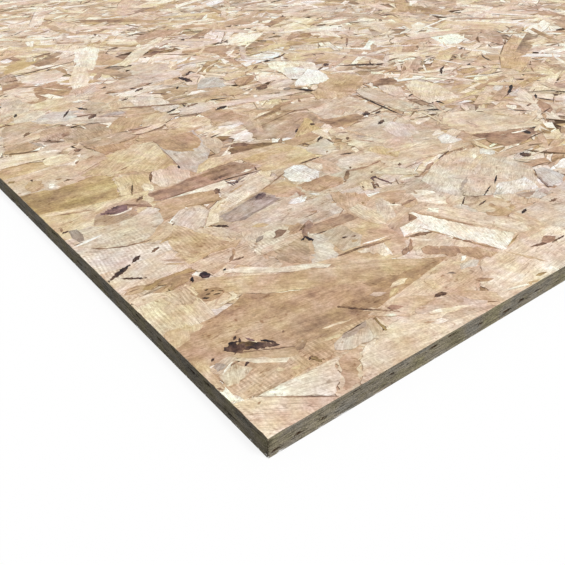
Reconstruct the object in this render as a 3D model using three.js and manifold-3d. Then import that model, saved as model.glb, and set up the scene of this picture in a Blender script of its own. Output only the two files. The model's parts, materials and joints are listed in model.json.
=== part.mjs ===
// Oriented strand board panel: one pressed sheet of wood strands, sawn square on all four edges.
// Millimetres, +Z up. The origin is the middle of the underside. The length runs along X, which the
// strands of both faces follow, and the width runs along Y.

import * as THREE from "three";
import { mergeVertices } from "three/addons/utils/BufferGeometryUtils.js";
import Module from "manifold-3d";

// Driving dimensions of the sheet.
const LENGTH = 2440;
const WIDTH = 1220;
const THICKNESS = 15;

// Edge voids: the lens-shaped gaps between strands that the saw lays open along every edge.
const VOID_PITCH = 60; // mean distance from one void to the next along an edge
const VOID_DRIFT = 22; // how far a void strays from its even place
const VOID_LENGTH_MIN = 5;
const VOID_LENGTH_MAX = 23;
const VOID_HEIGHT_MIN = 0.9;
const VOID_HEIGHT_MAX = 2.1;
const VOID_DEPTH_MIN = 3;
const VOID_DEPTH_MAX = 11; // measured into the sheet from the sawn edge
const VOID_TILT_MAX = 7; // degrees out of the plane of the sheet
const CORNER_CLEAR = 34; // whole wood left at each corner, to the middle of the first void
const FACE_CLEAR = 1.3; // whole wood left between a void and the two faces
const VOID_INSET = 0.2; // share of a void's depth from the sawn edge to its widest section
const VOID_SEED = 1931;

// Facets of one void.
const VOID_BANDS = 4;
const VOID_SIDES = 6;

// The four sides, in turn from the front one, each a quarter turn about Z from the one before.
const FRONT = 0;
const LEFT = 3;
const SIDE_COUNT = 4;

// Voids round the front left corner. Each lies a distance from the corner along its side, with its
// middle at a share of the thickness above the underside. Tilts are in degrees.
const CORNER_VOIDS = [
  { side: FRONT, fromCorner: 5.5, level: 0.24, length: 8, height: 1.4, depth: 4, tilt: -9 },
  { side: FRONT, fromCorner: 21, level: 0.37, length: 8, height: 1.7, depth: 6, tilt: 9 },
  { side: FRONT, fromCorner: 38.5, level: 0.4, length: 5, height: 1.3, depth: 4, tilt: -4 },
  { side: FRONT, fromCorner: 64, level: 0.84, length: 6, height: 1, depth: 3, tilt: 3 },
  { side: FRONT, fromCorner: 93, level: 0.62, length: 5, height: 1, depth: 4, tilt: 6 },
  { side: FRONT, fromCorner: 130, level: 0.75, length: 8, height: 1.9, depth: 7, tilt: 10 },
  { side: FRONT, fromCorner: 146, level: 0.83, length: 7, height: 1.1, depth: 4, tilt: -4 },
  { side: FRONT, fromCorner: 177, level: 0.48, length: 6, height: 1, depth: 5, tilt: 7 },
  { side: FRONT, fromCorner: 206, level: 0.31, length: 11, height: 2, depth: 6, tilt: -6 },
  { side: FRONT, fromCorner: 222, level: 0.45, length: 8, height: 1.7, depth: 8, tilt: 13 },
  { side: FRONT, fromCorner: 240, level: 0.49, length: 5, height: 1.3, depth: 5, tilt: 5 },
  { side: LEFT, fromCorner: 33, level: 0.35, length: 6, height: 1, depth: 4, tilt: 5 },
  { side: LEFT, fromCorner: 58.5, level: 0.77, length: 8, height: 1.4, depth: 5, tilt: 5 },
  { side: LEFT, fromCorner: 75.5, level: 0.65, length: 8, height: 1.8, depth: 7, tilt: 4 },
  { side: LEFT, fromCorner: 96, level: 0.82, length: 5, height: 1, depth: 3, tilt: -3 },
  { side: LEFT, fromCorner: 115, level: 0.63, length: 6, height: 1.5, depth: 5, tilt: 8 },
];

// How far the voids placed one by one reach along the two sides, from the corner.
const FRONT_STRETCH = 262;
const LEFT_STRETCH = 131;

const wasm = await Module();
wasm.setup();

// A closed three.js geometry as a solid that can be cut. A lathed end closes on a point, where one
// triangle of each pair has no area, so those are left out.
function solidOf(geometry) {
  const bare = new THREE.BufferGeometry();
  bare.setAttribute("position", geometry.getAttribute("position"));
  bare.setIndex(geometry.getIndex());
  const merged = mergeVertices(bare, 1e-5);
  const corners = merged.getIndex().array;
  const triangles = [];
  for (let i = 0; i < corners.length; i += 3) {
    const triangle = [corners[i], corners[i + 1], corners[i + 2]];
    if (new Set(triangle).size === 3) triangles.push(...triangle);
  }
  const vertProperties = merged.getAttribute("position").array;
  const triVerts = new Uint32Array(triangles);
  return new wasm.Manifold(new wasm.Mesh({ numProp: 3, vertProperties, triVerts }));
}

// A solid as a flat-shaded three.js geometry.
function geometryOf(solid) {
  const mesh = solid.getMesh();
  const geometry = new THREE.BufferGeometry();
  geometry.setAttribute("position", new THREE.BufferAttribute(mesh.vertProperties, 3));
  geometry.setIndex(new THREE.BufferAttribute(mesh.triVerts, 1));
  const faceted = geometry.toNonIndexed();
  faceted.computeVertexNormals();
  return faceted;
}

// A spindle that comes to a point at both ends: one unit from its axis, which is Y, to its widest
// ring, and one unit from its middle to each tip.
function spindle() {
  const profile = [];
  for (let band = 0; band <= VOID_BANDS; band += 1) {
    const along = (2 * band) / VOID_BANDS - 1;
    profile.push(new THREE.Vector2(1 - along * along, along));
  }
  return new THREE.LatheGeometry(profile, VOID_SIDES);
}

// How long a side is, and how far it lies from the middle of the sheet.
function measure(side) {
  const runsAlongLength = side % 2 === 0;
  return runsAlongLength
    ? { run: LENGTH, distance: WIDTH / 2 }
    : { run: WIDTH, distance: LENGTH / 2 };
}

// One void, made as if on the front side and turned to its own. Its tips lie along the sawn edge,
// which it stands across with its middle a little way inside.
function edgeVoid({ side, along, middle, length, height, depth, tilt }) {
  const { distance } = measure(side);
  const inside = depth * VOID_INSET;
  const shape = spindle();
  shape.scale(depth - inside, length / 2, height / 2);
  shape.rotateZ(-Math.PI / 2);
  shape.rotateY(THREE.MathUtils.degToRad(tilt));
  shape.translate(along, inside - distance, middle);
  shape.rotateZ((side * Math.PI) / 2);
  return solidOf(shape);
}

// A repeatable random number between two limits.
function between(low, high) {
  return THREE.MathUtils.lerp(low, high, THREE.MathUtils.seededRandom());
}

// The evenly spread voids of one side. Each strays from its place and keeps clear of both faces.
function spreadVoids(side) {
  const { run } = measure(side);
  const start = side === FRONT ? FRONT_STRETCH : CORNER_CLEAR;
  const end = side === LEFT ? LEFT_STRETCH : CORNER_CLEAR;
  const count = Math.max(1, Math.round((run - start - end) / VOID_PITCH));
  const pitch = (run - start - end) / count;
  const voids = [];
  for (let i = 0; i < count; i += 1) {
    const place = start + (i + 0.5) * pitch;
    const drift = between(-VOID_DRIFT, VOID_DRIFT);
    const size = THREE.MathUtils.seededRandom() ** 2;
    const length = THREE.MathUtils.lerp(VOID_LENGTH_MIN, VOID_LENGTH_MAX, size);
    const height = between(VOID_HEIGHT_MIN, VOID_HEIGHT_MAX);
    const depth = between(VOID_DEPTH_MIN, VOID_DEPTH_MAX);
    const tilt = between(-VOID_TILT_MAX, VOID_TILT_MAX);
    const rise = (length / 2) * Math.sin(THREE.MathUtils.degToRad(Math.abs(tilt)));
    const room = THICKNESS / 2 - FACE_CLEAR - height / 2 - rise;
    const middle = THICKNESS / 2 + between(-room, room);
    voids.push(edgeVoid({ side, along: place + drift - run / 2, middle, length, height, depth, tilt }));
  }
  return voids;
}

// The voids round the front left corner, which is where the front side starts and the left one ends.
function cornerVoids() {
  return CORNER_VOIDS.map(({ fromCorner, level, ...shape }) => {
    const { run } = measure(shape.side);
    const along = shape.side === FRONT ? fromCorner - run / 2 : run / 2 - fromCorner;
    return edgeVoid({ ...shape, along, middle: level * THICKNESS });
  });
}

// The sheet, with every void cut into its edges.
function panel() {
  const sheet = new THREE.BoxGeometry(LENGTH, WIDTH, THICKNESS);
  sheet.translate(0, 0, THICKNESS / 2);
  THREE.MathUtils.seededRandom(VOID_SEED);
  const voids = cornerVoids();
  for (let side = 0; side < SIDE_COUNT; side += 1) voids.push(...spreadVoids(side));
  return geometryOf(solidOf(sheet).subtract(wasm.Manifold.union(voids)));
}

const strandWood = new THREE.MeshStandardMaterial({ color: 0xd3bda5, roughness: 0.85, metalness: 0 });

const group = new THREE.Group();
const board = new THREE.Mesh(panel(), strandWood);
board.name = "osb_panel";
group.add(board);

export default group;
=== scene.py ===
"""Dresses one pressed strand board sheet: strand faces, sawn edges, and a plain studio round it."""

import json
import logging
import math
from dataclasses import dataclass, field
from enum import Enum
from typing import Any, Iterable

import bmesh
import bpy
import numpy as np
from mathutils import Euler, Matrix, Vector
from mathutils.geometry import delaunay_2d_cdt

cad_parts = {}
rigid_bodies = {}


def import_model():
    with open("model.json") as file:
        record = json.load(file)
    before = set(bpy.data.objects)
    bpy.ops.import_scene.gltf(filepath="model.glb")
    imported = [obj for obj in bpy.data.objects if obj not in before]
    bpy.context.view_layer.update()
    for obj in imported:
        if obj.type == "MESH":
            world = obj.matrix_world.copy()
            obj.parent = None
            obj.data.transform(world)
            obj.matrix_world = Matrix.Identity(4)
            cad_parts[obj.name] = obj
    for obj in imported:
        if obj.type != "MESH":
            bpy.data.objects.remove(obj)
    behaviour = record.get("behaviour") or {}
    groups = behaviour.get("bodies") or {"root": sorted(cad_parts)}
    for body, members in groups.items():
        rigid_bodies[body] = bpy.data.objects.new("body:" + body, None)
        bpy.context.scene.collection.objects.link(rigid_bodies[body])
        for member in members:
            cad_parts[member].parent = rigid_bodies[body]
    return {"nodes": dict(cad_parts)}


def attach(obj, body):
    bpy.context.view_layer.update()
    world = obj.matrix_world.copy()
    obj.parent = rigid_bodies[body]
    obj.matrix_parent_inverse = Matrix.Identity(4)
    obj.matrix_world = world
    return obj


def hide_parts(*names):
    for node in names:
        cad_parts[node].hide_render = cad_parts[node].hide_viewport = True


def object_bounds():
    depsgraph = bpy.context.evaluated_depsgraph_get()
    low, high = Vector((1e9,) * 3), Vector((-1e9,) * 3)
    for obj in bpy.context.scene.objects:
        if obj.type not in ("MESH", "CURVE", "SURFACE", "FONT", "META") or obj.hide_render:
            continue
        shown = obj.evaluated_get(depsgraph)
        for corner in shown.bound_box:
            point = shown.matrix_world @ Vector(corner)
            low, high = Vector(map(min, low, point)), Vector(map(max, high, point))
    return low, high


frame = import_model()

CAD_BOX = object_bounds()
NODE = "osb_panel"
BODY = "root"
MM = 0.001
SAW_INSET = 0.12  # how far inside the sheet's sides the strands are sawn off, in millimetres

LOG = logging.getLogger("strand_board")

Colour = tuple[float, float, float, float]
Point = tuple[float, float]
Socket = bpy.types.NodeSocket


def srgb(red: int, green: int, blue: int) -> Colour:
    """Turns a colour of 0 to 255 a channel, as on a screen, into a linear one.

    Args:
        red: The red channel.
        green: The green channel.
        blue: The blue channel.

    Returns:
        The linear colour with full alpha.
    """

    def linear(level: int) -> float:
        """One channel, made linear."""
        share = level / 255
        return share / 12.92 if share <= 0.04045 else ((share + 0.055) / 1.055) ** 2.4

    return linear(red), linear(green), linear(blue), 1.0


WHITE = srgb(255, 255, 255)


# ---------------------------------------------------------------------------------------------
# Node graphs
# ---------------------------------------------------------------------------------------------


NOISE_SPAN = (0.3, 0.7)  # the levels that nearly all of a noise lies between
FINE_SPAN = (0.25, 0.75)  # the same for the finest fibres


class Graph:
    """Adds nodes to a tree and wires them, for shaders and for geometry alike."""

    def __init__(self, tree: bpy.types.NodeTree) -> None:
        """Wraps an empty tree.

        Args:
            tree: The tree that the nodes go into.
        """
        self.tree = tree

    def add(self, kind: str, feeds: dict[int | str, Any] | None = None, **settings: Any) -> Any:
        """Adds one node.

        Args:
            kind: The node's type name.
            feeds: What goes into each input, by name or number: a socket to link, or a value.
            settings: Properties of the node itself, such as its operation.

        Returns:
            The new node.
        """
        node = self.tree.nodes.new(kind)
        for name, value in settings.items():
            setattr(node, name, value)
        for name, value in (feeds or {}).items():
            self.feed(node.inputs[name], value)
        return node

    def feed(self, socket: Socket, value: Any) -> None:
        """Links a socket to another, or sets its value.

        Args:
            socket: The input to feed.
            value: An output socket, or a plain value.
        """
        if isinstance(value, bpy.types.NodeSocket):
            self.tree.links.new(value, socket)
        else:
            socket.default_value = value

    def math(self, operation: str, first: Any, second: Any = 0.0, third: Any = 0.0) -> Socket:
        """Adds a Math node.

        Args:
            operation: The node's operation, such as MULTIPLY.
            first: The first operand.
            second: The second operand.
            third: The third operand.

        Returns:
            The result's socket.
        """
        feeds = {0: first, 1: second, 2: third}
        return self.add("ShaderNodeMath", feeds, operation=operation).outputs[0]

    def vector(self, operation: str, first: Any, second: Any = (0.0, 0.0, 0.0)) -> Socket:
        """Adds a Vector Math node.

        Args:
            operation: The node's operation.
            first: The first vector.
            second: The second vector.

        Returns:
            The resulting vector's socket.
        """
        feeds = {0: first, 1: second}
        return self.add("ShaderNodeVectorMath", feeds, operation=operation).outputs[0]

    def combine(self, x: Any = 0.0, y: Any = 0.0, z: Any = 0.0) -> Socket:
        """Makes a vector from three numbers."""
        return self.add("ShaderNodeCombineXYZ", {0: x, 1: y, 2: z}).outputs[0]

    def separate(self, vector: Any) -> bpy.types.NodeOutputs:
        """Splits a vector into its three numbers."""
        return self.add("ShaderNodeSeparateXYZ", {0: vector}).outputs

    def remap(self, value: Any, low: float, high: float, to_low: Any = 0.0, to_high: Any = 1.0) -> Socket:
        """Carries a value smoothly from one range to another, held at both ends.

        Args:
            value: The value.
            low: Where the first range starts.
            high: Where it ends.
            to_low: What low becomes.
            to_high: What high becomes.

        Returns:
            The carried value's socket.
        """
        feeds = {"Value": value, 1: low, 2: high, 3: to_low, 4: to_high}
        node = self.add("ShaderNodeMapRange", feeds, interpolation_type="SMOOTHSTEP", clamp=True)
        return node.outputs["Result"]

    def noise(self, vector: Any, scale: float, detail: float = 2.0, rough: float = 0.5) -> Socket:
        """Adds a noise texture.

        Args:
            vector: Where it is read.
            scale: Its features for each unit of length.
            detail: Its octaves.
            rough: How much each octave keeps of the one before.

        Returns:
            The noise value's socket, from 0 to 1.
        """
        feeds = {"Vector": vector, "Scale": scale, "Detail": detail, "Roughness": rough}
        return self.add("ShaderNodeTexNoise", feeds).outputs["Fac"]

    def mix(self, amount: Any, first: Any, second: Any, blend: str = "MIX") -> Socket:
        """Mixes two colours.

        Args:
            amount: How much of the second, from 0 to 1.
            first: The first colour.
            second: The second colour.
            blend: How they are blended.

        Returns:
            The mixed colour's socket.
        """
        feeds = {0: amount, 6: first, 7: second}
        return self.add("ShaderNodeMix", feeds, data_type="RGBA", blend_type=blend).outputs[2]

    def times(self, colour: Any, factor: Any) -> Socket:
        """Multiplies a colour by another one."""
        return self.mix(1.0, colour, factor, "MULTIPLY")

    def between(self, share: Any, first: Any, second: Any) -> Socket:
        """Blends two numbers."""
        feeds = {0: share, 2: first, 3: second}
        return self.add("ShaderNodeMix", feeds, data_type="FLOAT").outputs[0]

    def gathered(self, value: Any, parts: Iterable[tuple[Any, float]]) -> Socket:
        """Adds shares of other values to a value.

        Args:
            value: The value.
            parts: Each other value, with its share.

        Returns:
            The sum's socket.
        """
        for part, share in parts:
            value = self.math("MULTIPLY_ADD", part, share, value)
        return value

    def attribute(self, name: str, output: str = "Fac") -> Socket:
        """Reads a number, or a vector, that a mesh carries."""
        return self.add("ShaderNodeAttribute", attribute_name=name).outputs[output]

    def side_distance(self, place: Any) -> Socket:
        """How far inside the nearest side of the sheet a place lies, in metres."""
        x, y, _ = self.separate(place)
        reach_x = self.math("SUBTRACT", CAD_BOX[1].x, self.math("ABSOLUTE", x))
        reach_y = self.math("SUBTRACT", CAD_BOX[1].y, self.math("ABSOLUTE", y))
        return self.math("MINIMUM", reach_x, reach_y)


def open_group(name: str, kind: str, takes: Iterable[tuple], gives: Iterable[tuple]) -> tuple:
    """Starts a node group with named inputs and outputs.

    Args:
        name: The group's name.
        kind: ShaderNodeTree or GeometryNodeTree.
        takes: For each input its name, socket type and, where it has one, its default.
        gives: For each output its name and socket type.

    Returns:
        The graph, its group input's outputs and its group output's inputs.
    """
    tree = bpy.data.node_groups.new(name, kind)
    for label, socket_type, *default in takes:
        socket = tree.interface.new_socket(label, in_out="INPUT", socket_type=socket_type)
        if default:
            socket.default_value = default[0]
    for label, socket_type in gives:
        tree.interface.new_socket(label, in_out="OUTPUT", socket_type=socket_type)
    graph = Graph(tree)
    return graph, graph.add("NodeGroupInput").outputs, graph.add("NodeGroupOutput").inputs


def open_tree(owner: bpy.types.Material | bpy.types.World) -> Graph:
    """Empties the node tree of a material or a world, so that it can be filled.

    Args:
        owner: The material or world.

    Returns:
        The graph of its tree.
    """
    owner.use_nodes = True
    owner.node_tree.nodes.clear()
    return Graph(owner.node_tree)


# ---------------------------------------------------------------------------------------------
# Meshes and objects
# ---------------------------------------------------------------------------------------------


def store_values(mesh: bpy.types.Mesh, name: str, values: Any) -> None:
    """Stores a number or a vector with every point of a mesh.

    Args:
        mesh: The mesh.
        name: What the numbers or vectors are called.
        values: One number or one row of three a point.
    """
    rows = np.asarray(values, dtype=np.float32)
    kind, key = ("FLOAT_VECTOR", "vector") if rows.ndim == 2 else ("FLOAT", "value")
    mesh.attributes.new(name, kind, "POINT").data.foreach_set(key, rows.ravel())


def link_object(name: str, data: bpy.types.ID) -> bpy.types.Object:
    """Puts a new object into the scene, at the origin.

    Args:
        name: Its name.
        data: Its mesh, camera or light.

    Returns:
        The object.
    """
    made = bpy.data.objects.new(name, data)
    bpy.context.scene.collection.objects.link(made)
    return made


# ---------------------------------------------------------------------------------------------
# Shared effects of the finishes
# ---------------------------------------------------------------------------------------------


@dataclass(frozen=True)
class WoodPalette:
    """The colours of the strands, from bark to the palest sapwood, at even steps of tone."""

    name: str
    colours: tuple[Colour, ...]
    warm: tuple[float, float, float] = (0.99, 1.02, 0.8)
    cool: tuple[float, float, float] = (0.8, 0.99, 1.3)
    purple: tuple[float, float, float] = (1.02, 0.88, 1.06)
    coolest: float = -2.0
    pale_from: float = 0.7
    pale_hue: float = 0.5

    def build(self) -> bpy.types.NodeTree:
        """Makes the group that turns a strand's tone and hue into its base colour.

        Returns:
            The group. Tone runs from 0 to 1, Hue from -2, slate grey, to 1, golden, and Blush from
            green, below zero, to 1, purple. The palest woods take on less of their hue.
        """
        graph, takes, gives = open_group(
            self.name,
            "ShaderNodeTree",
            [
                ("Tone", "NodeSocketFloat", 0.5),
                ("Hue", "NodeSocketFloat", 0.0),
                ("Blush", "NodeSocketFloat", 0.0),
            ],
            [("Color", "NodeSocketColor")],
        )
        ramp = graph.add("ShaderNodeValToRGB", {"Fac": takes["Tone"]})
        stops = ramp.color_ramp.elements
        while len(stops) < len(self.colours):
            stops.new(1.0)
        for index, (stop, colour) in enumerate(zip(stops, self.colours)):
            stop.position = index / (len(self.colours) - 1)
            stop.color = colour
        kept = graph.remap(takes["Tone"], self.pale_from, 1.0, 1.0, self.pale_hue)
        hue = graph.math("MULTIPLY", takes["Hue"], kept)
        golden = graph.mix(hue, WHITE, (*self.warm, 1.0))
        coolness = graph.math("MULTIPLY", hue, 1 / self.coolest)
        greyed = graph.mix(coolness, WHITE, (*self.cool, 1.0))
        tinted = graph.times(graph.times(ramp.outputs["Color"], golden), greyed)
        shifts = [graph.math("POWER", share, takes["Blush"]) for share in self.purple]
        graph.feed(gives["Color"], graph.times(tinted, graph.combine(*shifts)))
        return graph.tree


@dataclass(frozen=True)
class Figure:
    """A pattern drawn out along a strand: its cells, and between which levels its noise is read."""

    along_mm: float
    across_mm: float
    apart: float
    levels: tuple[float, float] = NOISE_SPAN
    detail: float = 2.0


@dataclass(frozen=True)
class StrandGrain:
    """One strand's grain, drawn from its own along and across distances in millimetres.

    The strands' grains lie apart in the noise by their chance times the spread. The lines wander
    aside slowly along a strand. A crack is a thin ridge of noise, broken up into lengths.
    """

    figures: tuple[tuple[str, Figure], ...] = (
        ("Band", Figure(70.0, 16.0, 0.0)),
        ("Streak", Figure(45.0, 2.6, 7.3)),
        ("Fibre", Figure(7.0, 0.7, 3.1, FINE_SPAN)),
        ("Pit", Figure(5.0, 1.7, 11.9, (0.58, 0.72))),
    )
    crack: Figure = Figure(60.0, 5.0, 17.7)
    crack_reach: float = 0.018
    broken: Figure = Figure(26.0, 9.0, 23.3, (0.5, 0.62), detail=1.0)
    spread: float = 913.0
    wander_mm: float = 14.0
    wander_slowed: float = 0.05
    wander_scale: float = 0.09
    mottle_scale: float = 0.07

    def build(self) -> bpy.types.NodeTree:
        """Makes the group that draws the grain.

        Returns:
            The group. Band is the slow change over a strand, Streak the growth rings, Fibre the
            fine lines, Pit the small dents, Crack the splits along the grain and Mottle the
            blotches.
        """
        names = [*(name for name, _ in self.figures), "Crack", "Mottle"]
        graph, takes, gives = open_group(
            "StrandGrain",
            "ShaderNodeTree",
            [("Grain", "NodeSocketVector"), ("Chance", "NodeSocketFloat", 0.0)],
            [(name, "NodeSocketFloat") for name in names],
        )
        along, across, _ = graph.separate(takes["Grain"])
        shift = graph.math("MULTIPLY", takes["Chance"], self.spread)
        slowed = graph.math("MULTIPLY", along, self.wander_slowed)
        wander = graph.noise(graph.combine(slowed, across, shift), self.wander_scale, 2.0)
        bent = graph.math("ADD", across, graph.math("MULTIPLY", wander, self.wander_mm))

        def drawn(figure: Figure) -> Socket:
            """The noise of a figure."""
            place = graph.combine(
                graph.math("MULTIPLY", along, 1 / figure.along_mm),
                graph.math("MULTIPLY", bent, 1 / figure.across_mm),
                graph.math("ADD", shift, figure.apart),
            )
            return graph.noise(place, 1.0, figure.detail, 0.6)

        for name, figure in self.figures:
            graph.feed(gives[name], graph.remap(drawn(figure), *figure.levels))
        ridge = graph.math("ABSOLUTE", graph.math("SUBTRACT", drawn(self.crack), 0.5))
        ridge = graph.remap(ridge, self.crack_reach, 0.0)
        broken = graph.remap(drawn(self.broken), *self.broken.levels)
        graph.feed(gives["Crack"], graph.math("MULTIPLY", ridge, broken))
        mottle = graph.noise(graph.combine(along, across, shift), self.mottle_scale, 4.0, 0.65)
        graph.feed(gives["Mottle"], graph.remap(mottle, *NOISE_SPAN))
        return graph.tree


@dataclass(frozen=True)
class PressScreen:
    """The press screen's woven imprint over a whole face, which shows in patches.

    Its wires sway widely and waver finely. Scales are for each metre. A strand's share lifts it into
    a patch, and where the imprint is broken this much of it is left.
    """

    along_pitch_mm: float = 2.98
    across_pitch_mm: float = 1.54
    along_depth: float = 0.72
    across_depth: float = 0.28
    sway_scale: float = 9.0
    sway_mm: float = 20.0
    waver_scale: float = 110.0
    waver_mm: float = 2.2
    patch_scale: float = 22.0
    patch_levels: tuple[float, float] = (0.52, 0.74)
    patch_lift: float = 0.22
    break_scale: float = 95.0
    break_levels: tuple[float, float] = (0.38, 0.6)
    broken: float = 0.35
    least_share: float = 0.3

    def build(self) -> bpy.types.NodeTree:
        """Makes the group that draws the imprint.

        Returns:
            The group, whose one output is the imprint's height from -1 to 1. It shows more on
            strands of a greater share.
        """
        graph, takes, gives = open_group(
            "ScreenImprint",
            "ShaderNodeTree",
            [("Share", "NodeSocketFloat", 0.5)],
            [("Imprint", "NodeSocketFloat")],
        )
        place = graph.add("ShaderNodeTexCoord").outputs["Object"]
        sway = graph.math("MULTIPLY", graph.noise(place, self.sway_scale, 1.0), self.sway_mm * MM)
        waver = graph.math("MULTIPLY", graph.noise(place, self.waver_scale, 2.0), self.waver_mm * MM)
        x, y, _ = graph.separate(place)

        def wires(distance: Socket, pitch_mm: float, depth: float) -> Socket:
            """The dips that one direction's wires leave."""
            swayed = graph.math("ADD", graph.math("ADD", distance, sway), waver)
            turns = graph.math("DIVIDE", graph.math("MULTIPLY", swayed, 2 * math.pi / MM), pitch_mm)
            return graph.math("MULTIPLY", graph.math("SINE", turns), depth)

        weave = graph.math(
            "ADD",
            wires(x, self.along_pitch_mm, self.along_depth),
            wires(y, self.across_pitch_mm, self.across_depth),
        )
        patch = graph.noise(place, self.patch_scale, 2.0)
        patch = graph.math("MULTIPLY_ADD", takes["Share"], self.patch_lift, patch)
        patch = graph.remap(patch, *self.patch_levels)
        whole = graph.remap(graph.noise(place, self.break_scale, 1.0), *self.break_levels, self.broken)
        share = graph.math("MAXIMUM", takes["Share"], self.least_share)
        shown = graph.math("MULTIPLY", graph.math("MULTIPLY", patch, whole), share)
        graph.feed(gives["Imprint"], graph.math("MULTIPLY", weave, shown))
        return graph.tree


# ---------------------------------------------------------------------------------------------
# Finishes
# ---------------------------------------------------------------------------------------------

FACE_PALETTE = WoodPalette(
    "FaceTones",
    (
        srgb(34, 27, 28), srgb(89, 67, 56), srgb(137, 108, 86), srgb(167, 136, 110),
        srgb(190, 157, 127), srgb(205, 173, 144), srgb(217, 188, 161), srgb(228, 204, 179),
        srgb(237, 217, 194), srgb(249, 233, 213), srgb(255, 249, 236),
    ),
)
EDGE_PALETTE = WoodPalette(
    "EdgeTones",
    (
        srgb(26, 20, 16), srgb(60, 51, 42), srgb(92, 82, 69), srgb(116, 106, 91), srgb(134, 124, 107),
        srgb(148, 138, 121), srgb(161, 151, 133), srgb(175, 164, 145), srgb(190, 178, 157),
        srgb(206, 193, 170), srgb(222, 208, 184),
    ),
)
WAX_SHEEN = 0.2  # as a specular level
SECOND_CHANCE = 37.0  # makes another chance of a strand's own one


@dataclass(frozen=True)
class Drift:
    """A slow change over a whole face, which takes no heed of its strands."""

    scale: float
    detail: float
    apart: float
    share: float = 1.0

    def read(self, graph: Graph, place: Socket) -> Socket:
        """Reads it at a place, from -0.5 to 0.5."""
        moved = graph.vector("ADD", place, (self.apart, 2.0 * self.apart, 0.0))
        return graph.remap(graph.noise(moved, self.scale, self.detail, 0.65), *NOISE_SPAN, -0.5, 0.5)


def cover(graph: Graph, colour: Socket, roughness: float, height: Socket, relief_mm: float) -> None:
    """Ends a material's graph in matt wood with a fine relief and a slight sheen of wax.

    Args:
        graph: The material's graph.
        colour: The wood's colour.
        roughness: Its roughness.
        height: The relief's height, as a share of its depth.
        relief_mm: The relief's depth.
    """
    bump = graph.add("ShaderNodeBump", {"Strength": 1.0, "Distance": relief_mm * MM, "Height": height})
    feeds = {"Base Color": colour, "Roughness": roughness, "Specular IOR Level": WAX_SHEEN,
             "Normal": bump.outputs["Normal"]}
    skin = graph.add("ShaderNodeBsdfPrincipled", feeds)
    graph.add("ShaderNodeOutputMaterial", {"Surface": skin.outputs["BSDF"]})


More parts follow.
